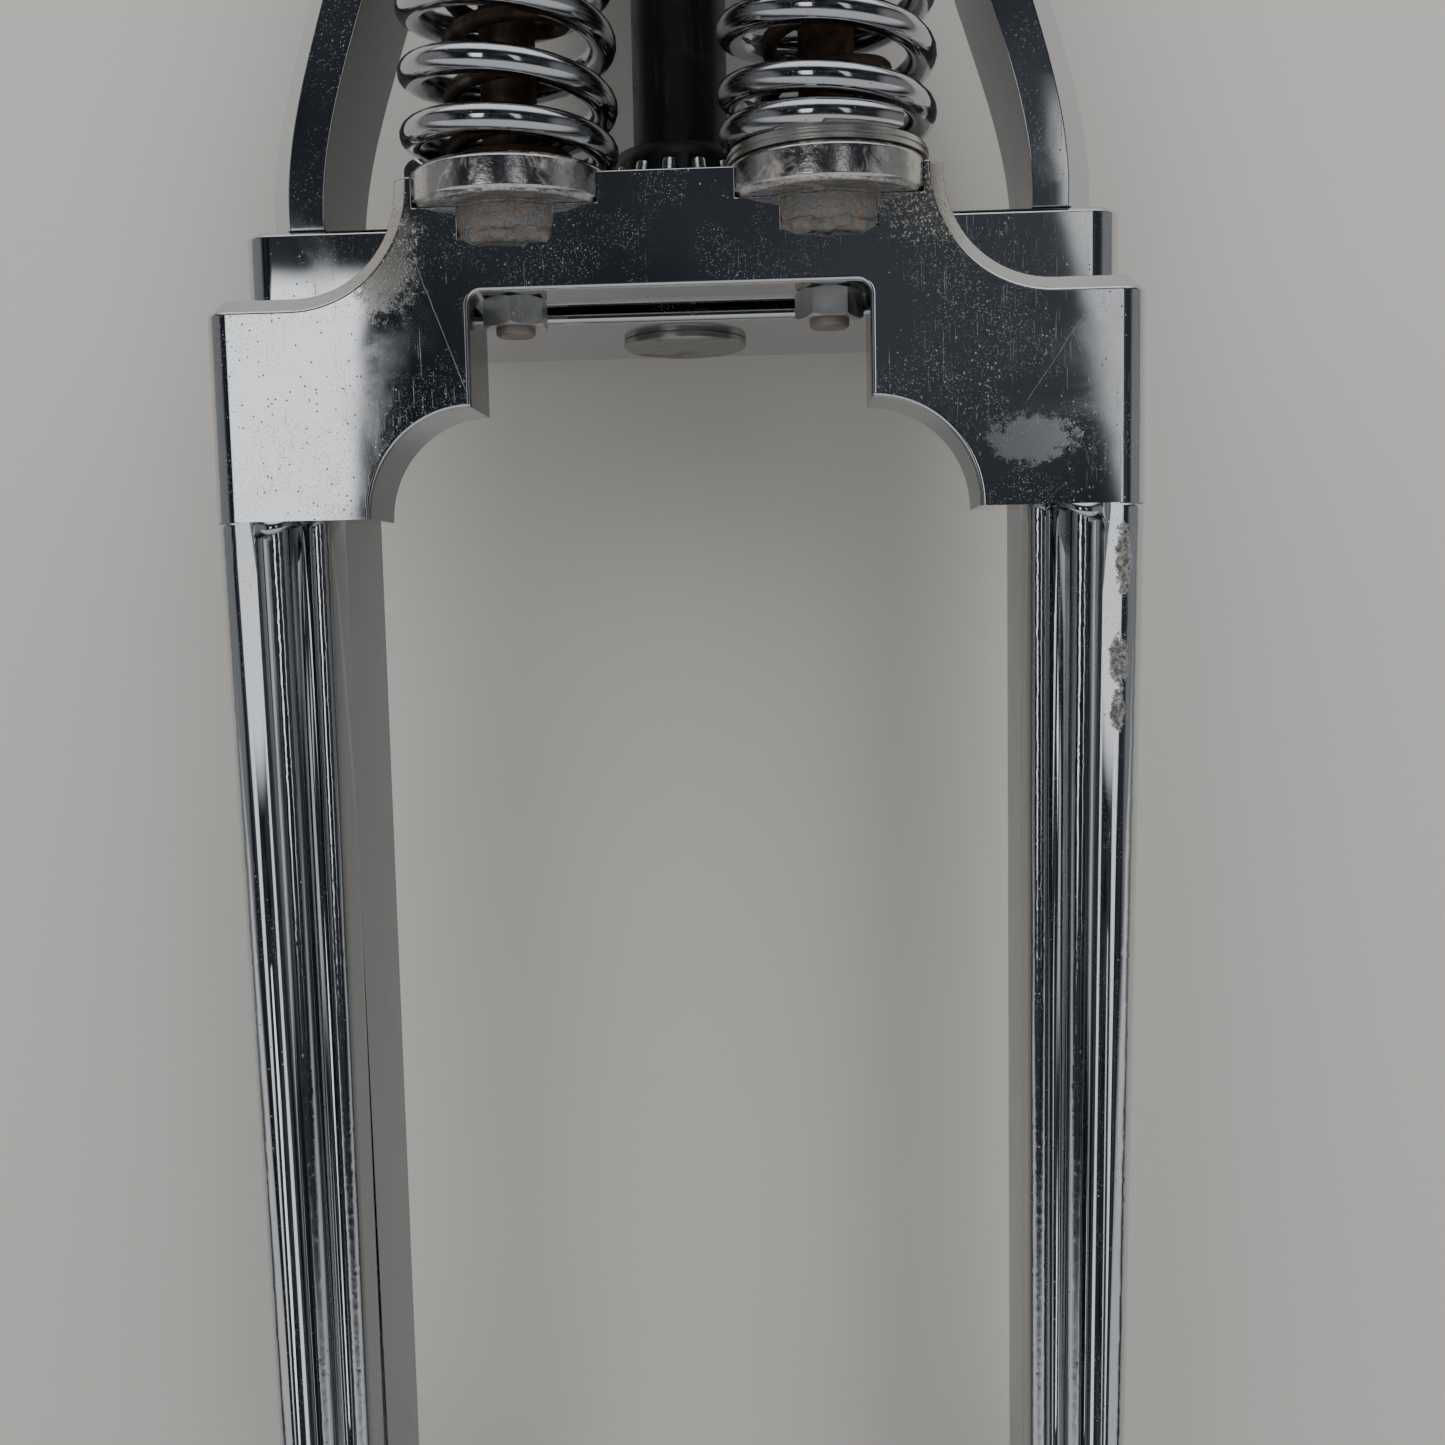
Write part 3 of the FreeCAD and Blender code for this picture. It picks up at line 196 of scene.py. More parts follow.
class Graph(Tree):
    """Node tree of one material, with a Principled surface."""

    def __init__(self, name: str) -> None:
        """Start an empty material.

        Args:
            name: Name of the new material.
        """
        self.material = bpy.data.materials.new(name)
        super().__init__(self.material)
        self.surface = self.tree.nodes.new("ShaderNodeBsdfPrincipled")
        output = self.tree.nodes.new("ShaderNodeOutputMaterial")
        self.tree.links.new(self.surface.outputs["BSDF"], output.inputs["Surface"])
        self.place = self.node("ShaderNodeTexCoord", {}, {}, "Object")

    def set(self, **values: object) -> None:
        """Set sockets of the Principled surface, by name with underscores."""
        for key, value in values.items():
            self.plug(self.surface.inputs[key.replace("_", " ")], value)

    def noise(self, scale: Number, detail: Number = 3.0, place: Union[Sock, None] = None,
              distortion: Number = 0.0) -> Sock:
        """Noise value; scale is in cycles per metre."""
        return self.node("ShaderNodeTexNoise", {}, {
            "Vector": place or self.place, "Scale": float(scale), "Detail": float(detail),
            "Roughness": 0.6, "Distortion": float(distortion)})

    def turned(self, angles: tuple, scale: tuple) -> Sock:
        """Object place turned by angles in degrees and stretched."""
        return self.node("ShaderNodeMapping", {}, {
            "Vector": self.place, "Rotation": tuple(math.radians(a) for a in angles),
            "Scale": scale}, "Vector")

    def facing_in(self) -> Sock:
        """Mask of the faces that look across to the fork's other side, for painted shade on their colour and a
        little more roughness.
        """
        normal = self.node("ShaderNodeTexCoord", {}, {}, "Normal")
        across = self.node("ShaderNodeSeparateXYZ", {}, [normal], "X")
        return (across * self.axis("X").step(-0.001, 0.001).scaled(-2.0, 1.0)).step(0.45, 0.80)

    def axis(self, name: str) -> Sock:
        """One coordinate of the object place, in metres."""
        return self.node("ShaderNodeSeparateXYZ", {}, [self.place], name)

    def distance(self, centre: tuple, stretch: tuple, place: Union[Sock, None] = None) -> Sock:
        """Distance from a centre in units of an ellipsoid's half sizes."""
        scale = tuple(1.0 / s for s in stretch)
        moved = self.node("ShaderNodeVectorMath", {"operation": "SUBTRACT"}, [place or self.place, centre])
        sized = self.node("ShaderNodeVectorMath", {"operation": "MULTIPLY"}, [moved, scale])
        return self.node("ShaderNodeVectorMath", {"operation": "LENGTH"}, [sized], "Value")

    def ragged(self, centre: tuple, stretch: tuple, fray: Number = 0.9, scale: Number = 420) -> Sock:
        """Patch with a frayed edge: 1 inside, 0 outside."""
        wander = self.noise(scale, 6) * (2 * fray) - fray
        crumbs = self.noise(scale * 6, 4) * fray - fray / 2
        return (self.distance(centre, stretch) + wander + crumbs).step(1.10, 0.70)

    def scratches(self, angles: tuple, density: Number, amount: Number) -> Sock:
        """Fine straight scratches along the turned Z axis."""
        place = self.turned(angles, (1.0, 1.0, 0.012))
        lines = self.noise(density, 2, place).step(0.70, 0.78)
        gaps = self.noise(density * 0.012, 2).step(0.45, 0.65)
        return lines * gaps * amount

    def pits(self, scale: Number, size: Number, rare: Number) -> Sock:
        """Small round pits in scattered cells."""
        cells = {"Vector": self.place, "Scale": float(scale)}
        near = self.node("ShaderNodeTexVoronoi", {}, cells, "Distance")
        draw = self.node("ShaderNodeTexVoronoi", {}, cells, "Color")
        lot = self.node("ShaderNodeSeparateColor", {}, [draw], 0)
        return near.step(size, size * 0.4) * lot.step(1.0 - rare, 1.0 - rare + 0.02)

    def bump(self, height: object, strength: Number, distance: Number,
             under: Union[Sock, None] = None) -> Sock:
        """Bump normal from a height; distance is in metres."""
        inputs = {"Height": height, "Strength": float(strength), "Distance": float(distance)}
        if under:
            inputs["Normal"] = under
        return self.node("ShaderNodeBump", {}, inputs, "Normal")


@dataclass(frozen=True)
class Patch:
    """Worn place on a surface: centre and half sizes in metres."""
    centre: tuple
    half: tuple


@dataclass(frozen=True)
class Gouge:
    """Long single scratch on a front face, between two (x, z) points in metres."""
    start: tuple
    end: tuple
    width: float = 0.00022

    def mask(self, graph: Graph) -> Sock:
        """Mask of the scratch: 1 in the middle of the line."""
        run = Vector((self.end[0] - self.start[0], self.end[1] - self.start[1]))
        along = run.normalized()
        x, z = graph.axis("X") - self.start[0], graph.axis("Z") - self.start[1]
        wobble = (graph.noise(90, 2) - 0.5) * 0.0012
        across = x * along.y - z * along.x + wobble
        side = graph.node("ShaderNodeMath", {"operation": "ABSOLUTE"}, [across])
        reach = x * along.x + z * along.y
        ends = reach.step(0.0, 0.004) * reach.step(run.length, run.length - 0.004)
        return side.step(self.width, self.width * 0.3) * ends


# ------------------------------------------------------------------ finishes

@dataclass(frozen=True)
class WornChrome:
    """Old polished chrome plate: clear, with haze, scratches and rust specks."""
    name: str
    tint: tuple = (0.56, 0.575, 0.59)
    polish: float = 0.035
    haze: float = 0.11
    speck: float = 0.25
    peeled: tuple = ()
    clouded: tuple = ()
    rusted: tuple = ()
    gouges: tuple = ()

    def material(self) -> bpy.types.Material:
        """Build the finish."""
        g = Graph(self.name)
        cloud = g.noise(38, 6, distortion=0.6).step(0.46, 0.72)
        smear = g.noise(16, 3, g.turned((0, 12, 0), (1, 1, 0.25))).step(0.42, 0.75)
        fine = g.scratches((0, 8, 20), 5200, 0.55)
        fine = fine.larger(g.scratches((0, -37, 5), 4300, 0.40))
        fine = fine.larger(g.scratches((30, 64, 0), 4800, 0.40))
        dots = g.pits(1100, 0.30, 0.10 * self.speck) * g.noise(30, 3).step(0.42, 0.60)
        tiny = g.pits(3200, 0.34, 0.30 * self.speck) * g.noise(55, 3).step(0.45, 0.62)
        peel = self._patches(g, self.peeled)
        dim = self._patches(g, self.clouded)
        rust = self._patches(g, self.rusted)
        cut = g.node("ShaderNodeMath", {"operation": "MULTIPLY"}, [0.0, 0.0])
        for gouge in self.gouges:
            cut = cut.larger(gouge.mask(g))
        spots = dots.larger(tiny * 0.8).larger(rust * g.noise(1700, 3).step(0.57, 0.66) * 0.7)
        inside = g.facing_in()
        grain = g.noise(2400, 4)
        base = g.mix(cloud * 0.35, self.tint, tuple(c * 0.88 for c in self.tint))
        base = g.mix(dim * g.noise(260, 6).step(0.30, 0.75) * 0.5, base, (0.60, 0.61, 0.62))
        flake = g.noise(1100, 5).step(0.35, 0.65)
        base = g.mix(peel, base, g.mix(flake, (0.13, 0.125, 0.12), (0.50, 0.49, 0.47)))
        base = g.mix(rust * 0.30, base, (0.50, 0.42, 0.28))
        base = g.mix(spots * 0.80, base, (0.13, 0.11, 0.09))
        # Painted shade: faces that look across to the fork's other side get a darker colour.
        base = g.mix(inside * 0.68, base, (0.13, 0.14, 0.145))
        rough = (self.polish + cloud * (self.haze * 0.45) + smear * (self.haze * 0.35) + fine * 0.22
                 + dim * 0.18 + peel * 0.42 + cut * 0.25 + spots * 0.35 + rust * 0.08 + inside * 0.10)
        metal = 1.0 - spots * 0.45 - peel * 0.25
        wave = g.bump(g.noise(30, 2), 0.10, 0.0005)
        worn = g.bump(peel * (flake * 0.8 + grain * 0.2) - peel, 0.9, 0.00045, wave)
        marks = g.bump(1.0 - (fine * 0.25).larger(cut).larger(spots), 0.55, 0.00012, worn)
        g.set(Base_Color=base, Roughness=rough.clamped(), Metallic=metal.clamped(), Normal=marks)
        return g.material

    @staticmethod
    def _patches(g: Graph, patches: Iterable[Patch]) -> Sock:
        """Largest of several frayed patches."""
        total = g.node("ShaderNodeMath", {"operation": "MULTIPLY"}, [0.0, 0.0])
        for patch in patches:
            total = total.larger(g.ragged(patch.centre, patch.half))
        return total


@dataclass(frozen=True)
class CastChrome:
    """Thin chrome over a rough casting, with bare weld below a given height."""
    name: str
    weld_below: float
    tint: tuple = (0.56, 0.555, 0.545)

    def material(self) -> bpy.types.Material:
        """Build the finish."""
        g = Graph(self.name)
        lumps = g.noise(520, 6)
        grit = g.noise(2600, 4)
        bare = (self.weld_below - g.axis("Z") + (g.noise(300, 3) - 0.5) * 0.0016).step(-0.0006, 0.0006)
        stain = g.noise(130, 5, distortion=1.2).step(0.50, 0.72)
        dirt = lumps.step(0.50, 0.36) * (bare * 0.5 + 0.5)
        plate = g.mix(dirt * 0.6, self.tint, (0.30, 0.26, 0.21))
        weld = g.mix(stain, g.mix(grit, (0.17, 0.165, 0.16), (0.38, 0.37, 0.355)), (0.20, 0.12, 0.06))
        base = g.mix(bare, g.mix(stain * 0.35, plate, (0.30, 0.18, 0.08)), weld)
        rough = 0.13 + dirt * 0.25 + bare * 0.30 + stain * 0.10
        height = lumps + grit * 0.25
        crumb = g.bump(height * (bare * 0.92 + 0.08), 0.85, 0.0011)
        g.set(Base_Color=base, Roughness=rough.clamped(), Metallic=(1.0 - stain * 0.5 - bare * 0.2).clamped(),
              Normal=crumb)
        return g.material


@dataclass(frozen=True)
class RustyRod:
    """Bare steel gone dark with old oil and rust."""
    name: str
    dark: tuple = (0.045, 0.032, 0.025)
    rust: tuple = (0.095, 0.055, 0.032)
    bright: tuple = (0.34, 0.32, 0.30)
    plated_below: float = -1.0

    def material(self) -> bpy.types.Material:
        """Build the finish."""
        g = Graph(self.name)
        blotch = g.noise(170, 6, distortion=0.8)
        crust = g.noise(1500, 5)
        rub = g.noise(60, 4, g.turned((0, 0, 0), (1, 1, 0.2))).step(0.55, 0.75)
        base = g.mix(blotch.step(0.38, 0.66), self.dark, self.rust)
        base = g.mix(crust.step(0.60, 0.75) * 0.5, base, (0.17, 0.10, 0.055))
        base = g.mix(rub * 0.6, base, self.bright)
        plated = g.axis("Z").step(self.plated_below + 0.0005, self.plated_below)
        base = g.mix(plated * 0.85, base, g.mix(blotch, (0.42, 0.41, 0.39), (0.20, 0.15, 0.11)))
        rough = 0.46 - rub * 0.18 + crust * 0.2
        g.set(Base_Color=base, Roughness=rough.clamped(), Metallic=(0.75 + rub * 0.2).clamped(),
              Normal=g.bump(blotch * 0.6 + crust * 0.4, 0.6, 0.0004))
        return g.material


@dataclass(frozen=True)
class PlainSteel:
    """Machined or plated steel with turning marks, grime and a little wear."""
    name: str
    tint: tuple = (0.50, 0.49, 0.47)
    grime: tuple = (0.13, 0.11, 0.09)
    roughness: float = 0.30
    metallic: float = 1.0
    soiling: float = 0.5

    def material(self) -> bpy.types.Material:
        """Build the finish."""
        g = Graph(self.name)
        dull = g.noise(110, 6, distortion=0.5)
        grain = g.noise(3000, 3)
        soil = dull.step(0.48, 0.72) * self.soiling
        brushed = g.noise(1800, 2, g.turned((0, 0, 0), (1, 1, 0.03)))
        nick = g.pits(700, 0.30, 0.10)
        base = g.mix(soil, self.tint, self.grime)
        base = g.mix(brushed * 0.25, base, tuple(min(1.0, c * 1.25) for c in self.tint))
        rough = self.roughness + soil * 0.30 + grain * 0.10 + nick * 0.2
        g.set(Base_Color=base, Roughness=rough.clamped(), Metallic=(self.metallic - soil * 0.3).clamped(),
              Normal=g.bump(brushed * 0.25 + grain * 0.35 - nick, 0.45, 0.0002))
        return g.material


@dataclass(frozen=True)
class BlackSteel:
    """Blackened steel with a faint brown bloom and rubbed streaks."""
    name: str
    black: tuple = (0.012, 0.013, 0.016)
    bright_below: float = -1.0

    def material(self) -> bpy.types.Material:
        """Build the finish."""
        g = Graph(self.name)
        bloom = g.noise(75, 6, distortion=0.9).step(0.52, 0.75)
        streak = g.noise(420, 3, g.turned((0, 0, 0), (1, 1, 0.08))).step(0.58, 0.74)
        grit = g.noise(2400, 4)
        base = g.mix(bloom * 0.55, self.black, (0.07, 0.038, 0.02))
        base = g.mix(streak * 0.25, base, (0.16, 0.155, 0.15))
        bare = g.axis("Z").step(self.bright_below + 0.0002, self.bright_below)
        base = g.mix(bare, base, g.mix(bloom, (0.34, 0.335, 0.325), (0.16, 0.13, 0.10)))
        rough = 0.34 + bloom * 0.3 + grit * 0.12 - streak * 0.06 - bare * 0.06
        g.set(Base_Color=base, Roughness=rough.clamped(), Metallic=(bare * 0.6 + 0.35).clamped(),
              Normal=g.bump(grit * 0.5 + streak * 0.4, 0.4, 0.00022))
        return g.material


@dataclass(frozen=True)
class PaleTable:
    """Plain pale warm-grey table, seen only from its front."""
    name: str = "pale_table"
    tint: tuple = (0.50, 0.485, 0.465)

    def material(self) -> bpy.types.Material:
        """Build the finish; the back of the sheet is clear."""
        g = Graph(self.name)
        mottled = g.noise(9, 5)
        g.set(Base_Color=g.mix(mottled * 0.35, self.tint, tuple(c * 0.93 for c in self.tint)),
              Roughness=0.75, Normal=g.bump(g.noise(900, 3), 0.15, 0.0003))
        back = g.node("ShaderNodeNewGeometry", {}, {}, "Backfacing")
        clear = g.node("ShaderNodeBsdfTransparent", {}, {}, "BSDF")
        solid = Sock(g, g.surface.outputs["BSDF"])
        blend = g.node("ShaderNodeMixShader", {}, [back, solid, clear])
        output = next(n for n in g.tree.nodes if n.type == "OUTPUT_MATERIAL")
        g.plug(output.inputs["Surface"], blend)
        return g.material


# ------------------------------------------------------------------ mesh tools

def body_of_node(node: str) -> str:
    """Name of the body that holds a node."""
    bodies = frame["record"]["behaviour"]["bodies"]
    return next(body for body, nodes in bodies.items() if node in nodes)


def centre(node: str) -> Vector:
    """Middle of a node's box at rest."""
    low, high = (Vector(v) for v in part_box(node))
    return (low + high) / 2


class Piece:
    """One visible object of the fork, made from a bmesh."""

    def __init__(self, name: str, bm: bmesh.types.BMesh, material: bpy.types.Material,
                 smooth_angle: float = 32.0, weighted: bool = True) -> None:
        """Turn a bmesh into an object at the origin.

        Args:
            name: Object name.
            bm: The finished bmesh, freed here.
            material: Its finish.
            smooth_angle: Edges sharper than this, in degrees, stay sharp.
            weighted: Whether large faces lead the shading of their corners.
        """
        mesh = bpy.data.meshes.new(name)
        bm.to_mesh(mesh)
        bm.free()
        for face in mesh.polygons:
            face.use_smooth = True
        mesh.set_sharp_from_angle(angle=math.radians(smooth_angle))
        mesh.materials.append(material)
        self.object = bpy.data.objects.new(name, mesh)
        if weighted:
            flat = self.object.modifiers.new("flat_faces", "WEIGHTED_NORMAL")
            flat.keep_sharp = True
            flat.weight = 100
        bpy.context.scene.collection.objects.link(self.object)

    def belongs(self, body: str, replaces: Sequence[str] = ()) -> "Piece":
        """Ride on a body and stand for nodes."""
        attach(self.object, body)
        if replaces:
            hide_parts(*replaces)
        LOG.info("%s rides on %s", self.object.name, body)
        return self


def merged_copy(node: str, whole: bool = True) -> bmesh.types.BMesh:
    """Bmesh of a node with its loose triangles joined.

    Args:
        node: The node to copy.
        whole: Whether flat faces are made whole as well.

    Returns:
        The bmesh.
    """
    bm = bmesh.new()
    bm.from_mesh(frame["nodes"][node].data)
    bmesh.ops.remove_doubles(bm, verts=bm.verts, dist=2e-6)
    if whole:
        bmesh.ops.dissolve_limit(bm, angle_limit=math.radians(0.4), verts=bm.verts, edges=bm.edges)
    return bm


def soften(bm: bmesh.types.BMesh, width: float, angle: float = 24.0, segments: int = 2,
           joint_z: float = math.inf) -> None:
    """Round every edge sharper than an angle.

    Args:
        bm: Mesh to change.
        width: Width of the rounding in metres.
        angle: Smallest angle between faces, in degrees, that is rounded.
        segments: Faces across the rounding.
        joint_z: Height of a flush joint, whose edges stay sharp.
    """
    limit = math.radians(angle)
    sharp = [e for e in bm.edges if len(e.link_faces) == 2 and e.calc_face_angle(0.0) > limit
             and not all(abs(v.co.z - joint_z) < 1e-5 for v in e.verts)]
    bmesh.ops.bevel(bm, geom=sharp, offset=width, offset_type="OFFSET", affect="EDGES",
                    segments=segments, profile=0.5, material=-1, clamp_overlap=True)


def dress(node: str, material: bpy.types.Material, edge: float = 0.0004, angle: float = 24.0,
          joint_z: float = math.inf) -> Piece:
    """Show a node as a smooth copy of itself with its edges eased.

    Args:
        node: The node that the copy stands for.
        material: Its finish.
        edge: Width of the eased edges in metres; 0 leaves them, and every face, as they are.
        angle: Smallest edge angle that is eased, in degrees.
        joint_z: Height of a flush joint, whose edges stay sharp.

    Returns:
        The new piece, riding on the node's body.
    """
    eased = edge > 0
    bm = merged_copy(node, eased)
    if eased:
        soften(bm, edge, angle, joint_z=joint_z)
    piece = Piece(node + "_shown", bm, material, 32.0 if eased else 60.0, weighted=eased)
    return piece.belongs(body_of_node(node), [node])


@dataclass(frozen=True)
class Coil:
    """Helical spring with closed and ground ends; sizes in metres, turns as counts."""
    radius: float
    wire: float
    turns: float
    closed: float = 1.0
    phase: float = 0.0
    hand: int = 1
    steps: int = 40
    sides: int = 18

    def pitch_at(self, turn: float, total: float, open_pitch: float) -> float:
        """Pitch at a place along the wire, eased in and out of the closed ends."""
        shut = self.wire * 2.02
        edge = min(turn, total - turn)
        share = min(1.0, max(0.0, (edge - self.closed * 0.75) / 0.5))
        eased = share * share * (3 - 2 * share)
        return shut + (open_pitch - shut) * eased

    def mesh(self, foot: Vector, height: float) -> bmesh.types.BMesh:
        """Sweep the wire up from a foot.

        Args:
            foot: Middle of the spring's lower end.
            height: Length of the spring.

        Returns:
            The bmesh of the spring.
        """
        count = int(self.turns * self.steps)
        rise = height - 1.1 * self.wire
        total = float(self.turns)
        unit = [self.pitch_at((k + 0.5) / self.steps, total, 1.0) for k in range(count)]
        shut = self.wire * 2.02
        shares = [(p - shut) / (1.0 - shut) for p in unit]
        base = shut * count / self.steps
        open_pitch = shut + (rise - base) * self.steps / sum(shares)
        lifts = [(shut + (open_pitch - shut) * s) / self.steps for s in shares]
        bm = bmesh.new()
        start = Matrix.Translation(Vector(foot) + Vector((0, 0, self.wire * 0.55)))
        start = start @ Matrix.Rotation(self.phase, 4, "Z")
        start = start @ Matrix.Translation((self.radius - self.wire, 0, 0))
        start = start @ Matrix.Rotation(math.pi / 2, 4, "X")
        bmesh.ops.create_circle(bm, cap_ends=True, segments=self.sides, radius=self.wire, matrix=start)
        geom = list(bm.faces) + list(bm.edges) + list(bm.verts)
        ring = [e for e in geom if isinstance(e, bmesh.types.BMEdge)]
        for lift in lifts:
            made = bmesh.ops.spin(bm, geom=ring, cent=foot, axis=(0, 0, 1), dvec=(0, 0, lift),
                                  angle=self.hand * 2 * math.pi / self.steps, steps=1, use_duplicate=False)
            ring = [e for e in made["geom_last"] if isinstance(e, bmesh.types.BMEdge)]
        bmesh.ops.contextual_create(bm, geom=ring)
        for level, side in ((foot.z, -1), (foot.z + height, 1)):
            self.grind(bm, level, side)
        bmesh.ops.recalc_face_normals(bm, faces=bm.faces)
        return bm

    @staticmethod
    def grind(bm: bmesh.types.BMesh, level: float, side: int) -> None:
        """Cut the end flat at a level and close it."""
        cut = bmesh.ops.bisect_plane(bm, geom=list(bm.verts) + list(bm.edges) + list(bm.faces), dist=1e-7,
                                     plane_co=(0, 0, level), plane_no=(0, 0, side), clear_outer=True)
        rim = [e for e in cut["geom_cut"] if isinstance(e, bmesh.types.BMEdge)]
        if rim:
            bmesh.ops.holes_fill(bm, edges=rim, sides=0)


def thread_mesh(radius: float, pitch: float, foot: Vector, height: float,
                turns_steps: int = 28) -> bmesh.types.BMesh:
    """Helical V ridge round a bolt end.

    Args:
        radius: Outer radius of the bolt.
        pitch: Rise for one turn.
        foot: Middle of the lower end.
        height: Length that is threaded.
        turns_steps: Steps for one turn.

    Returns:
        The bmesh of the ridge.
    """
    bm = bmesh.new()
    depth = pitch * 0.55
    spots = [(radius - depth, -pitch * 0.45), (radius + depth * 0.15, 0.0), (radius - depth, pitch * 0.45)]
    verts = [bm.verts.new((foot.x + r, foot.y, foot.z + pitch / 2 + z)) for r, z in spots]
    ring = [bm.edges.new((verts[k], verts[(k + 1) % 3])) for k in range(3)]
    steps = max(1, int((height - pitch) / pitch * turns_steps))
    made = bmesh.ops.spin(bm, geom=ring, cent=foot, axis=(0, 0, 1), angle=steps * 2 * math.pi / turns_steps,
                          dvec=(0, 0, pitch / turns_steps), steps=steps, use_duplicate=False)
    last = [e for e in made["geom_last"] if isinstance(e, bmesh.types.BMEdge)]
    bmesh.ops.contextual_create(bm, geom=ring)
    bmesh.ops.contextual_create(bm, geom=last)
    bmesh.ops.recalc_face_normals(bm, faces=bm.faces)
    return bm


def weld_ring(middle: Vector, radius: float, thick: float, seed: float) -> bmesh.types.BMesh:
    """Uneven weld bead lying round an upright boss."""
    bm = bmesh.new()
    place = Matrix.Translation(middle + Vector((radius, 0, 0))) @ Matrix.Rotation(math.pi / 2, 4, "X")
    bmesh.ops.create_circle(bm, cap_ends=False, segments=12, radius=thick, matrix=place)
    bmesh.ops.spin(bm, geom=list(bm.edges), cent=middle, axis=(0, 0, 1), angle=2 * math.pi, steps=120,
                   use_merge=True, use_duplicate=False)
    bmesh.ops.remove_doubles(bm, verts=bm.verts, dist=1e-7)
    bmesh.ops.recalc_face_normals(bm, faces=bm.faces)
    for vert in bm.verts:
        ripple = noise.noise(vert.co * 420 + Vector((seed, 0, 0))) + 0.5 * noise.noise(vert.co * 1100)
        away = vert.co - middle
        spoke = Vector((away.x, away.y, 0)).normalized() * radius
        vert.co += (away - spoke).normalized() * thick * 0.45 * ripple
    return bm


# ------------------------------------------------------------------ the fork's groups

@dataclass
class Finishes:
    """Every finish of the fork, made once."""

    def __post_init__(self) -> None:
        """Build the materials."""
        crown_marks = WornChrome(
            "crown_chrome", speck=0.9, haze=0.13,
            clouded=(Patch((0.084, -0.058, -0.060), (0.011, 0.01, 0.006)),),
            rusted=(Patch((0.062, -0.058, -0.004), (0.016, 0.03, 0.010)),
                    Patch((-0.068, -0.058, -0.012), (0.010, 0.03, 0.014))),
            gouges=(Gouge((-0.0598, -0.0146), (-0.0482, -0.0462), 0.00010),
                    Gouge((0.098, -0.030), (0.083, -0.052), 0.00005),
                    Gouge((0.094, -0.034), (0.102, -0.058), 0.00004)))
        right_leg = WornChrome(
            "right_leg_chrome", speck=0.6,
            peeled=(Patch((0.1062, -0.058, -0.088), (0.0018, 0.01, 0.0075)),
                    Patch((0.1052, -0.057, -0.112), (0.0020, 0.01, 0.0060)),
                    Patch((0.1048, -0.057, -0.124), (0.0016, 0.01, 0.0050))))
        self.chrome = WornChrome("fork_chrome", speck=0.5).material()
        self.leg = WornChrome("leg_chrome", speck=0.4, haze=0.09).material()
        self.crown = crown_marks.material()
        self.right_leg = right_leg.material()
        self.spring = WornChrome("spring_chrome", tint=(0.50, 0.505, 0.52), polish=0.07, haze=0.18,
                                 speck=0.5).material()
        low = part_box("spring_perch_left")[0]
        self.perch = CastChrome("perch_casting", weld_below=low[2] + 7.4 * MM).material()
        self.weld = CastChrome("weld_bead", weld_below=1.0).material()
        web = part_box("rod_foot_nuts")[1][2]
        self.rod = RustyRod("rusty_rod", plated_below=web).material()
        self.inner = RustyRod("rusty_spring", dark=(0.05, 0.038, 0.030), rust=(0.11, 0.065, 0.040)).material()
        self.nut = PlainSteel("plated_nut", tint=(0.54, 0.545, 0.54), roughness=0.30, soiling=0.6).material()
        self.washer = PlainSteel("plated_washer", tint=(0.55, 0.545, 0.53), roughness=0.28).material()
        self.shim = PlainSteel("shim_steel", tint=(0.62, 0.61, 0.58), roughness=0.25).material()
        self.bronze = PlainSteel("turned_bronze", tint=(0.50, 0.33, 0.15),
                                 grime=(0.10, 0.06, 0.03)).material()
        self.bearing = PlainSteel("bearing_steel", tint=(0.60, 0.60, 0.60), roughness=0.16,
                                  soiling=0.25).material()
        self.black = BlackSteel("black_steel").material()
        self.stem = BlackSteel("stem_steel", bright_below=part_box("rigid_yoke")[0][2] + 1 * MM).material()


@dataclass
class RigidFork:
    """Rear fork: yoke, legs, arms, stem, bridge and bracket."""
    finishes: Finishes
    edge: float = 0.0006
    stem_radius: float = 12.7 * MM

    def build(self) -> None:
        """Show every piece of the rigid fork."""
        done = self.finishes
        for node in ("rigid_yoke", "rigid_leg_left", "rigid_leg_right", "upper_arm_left", "upper_arm_right"):
            dress(node, done.chrome, self.edge, 30.0)
        for node in ("spring_bridge", "top_bracket", "bracket_bolts", "stem_top_nut"):
            dress(node, done.chrome, 0.0003)
        for node in ("bracket_washers", "stem_washer", "upper_spring_seats"):
            dress(node, done.washer, 0.0002)
        for node in ("bridge_bushes", "rear_pivot_bushes"):
            dress(node, done.bronze, 0.0002)
        dress("rear_grease_nipples", done.washer, 0.0001)
        dress("steering_stem", done.stem, 0.0003)
        dress("stem_adjuster", done.black, 0.0004)
        for level in ("lower", "upper"):
            dress(level + "_dust_shield", done.black, 0.0002)
            dress(level + "_bearing_cone", done.bearing, 0.0002)
        self.stem_thread()

    def stem_thread(self) -> None:
        """Fine thread on the end of the stem above its nut."""
        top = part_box("steering_stem")[1][2]
        nut_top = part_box("stem_top_nut")[1][2]
        bm = thread_mesh(self.stem_radius, 1.0 * MM, Vector((0, 0, nut_top)), top - nut_top - 0.6 * MM)
        Piece("stem_thread", bm, self.finishes.black).belongs("rigid_fork")


@dataclass
class Bearings:
    """Roller sets of both steering bearings."""
    finishes: Finishes

    def build(self) -> None:
        """Show rollers and cages."""
        for level in ("lower", "upper"):
            dress(level + "_bearing_rollers", self.finishes.bearing, 0.0002)
            dress(level + "_bearing_cage", self.finishes.black, 0.0)


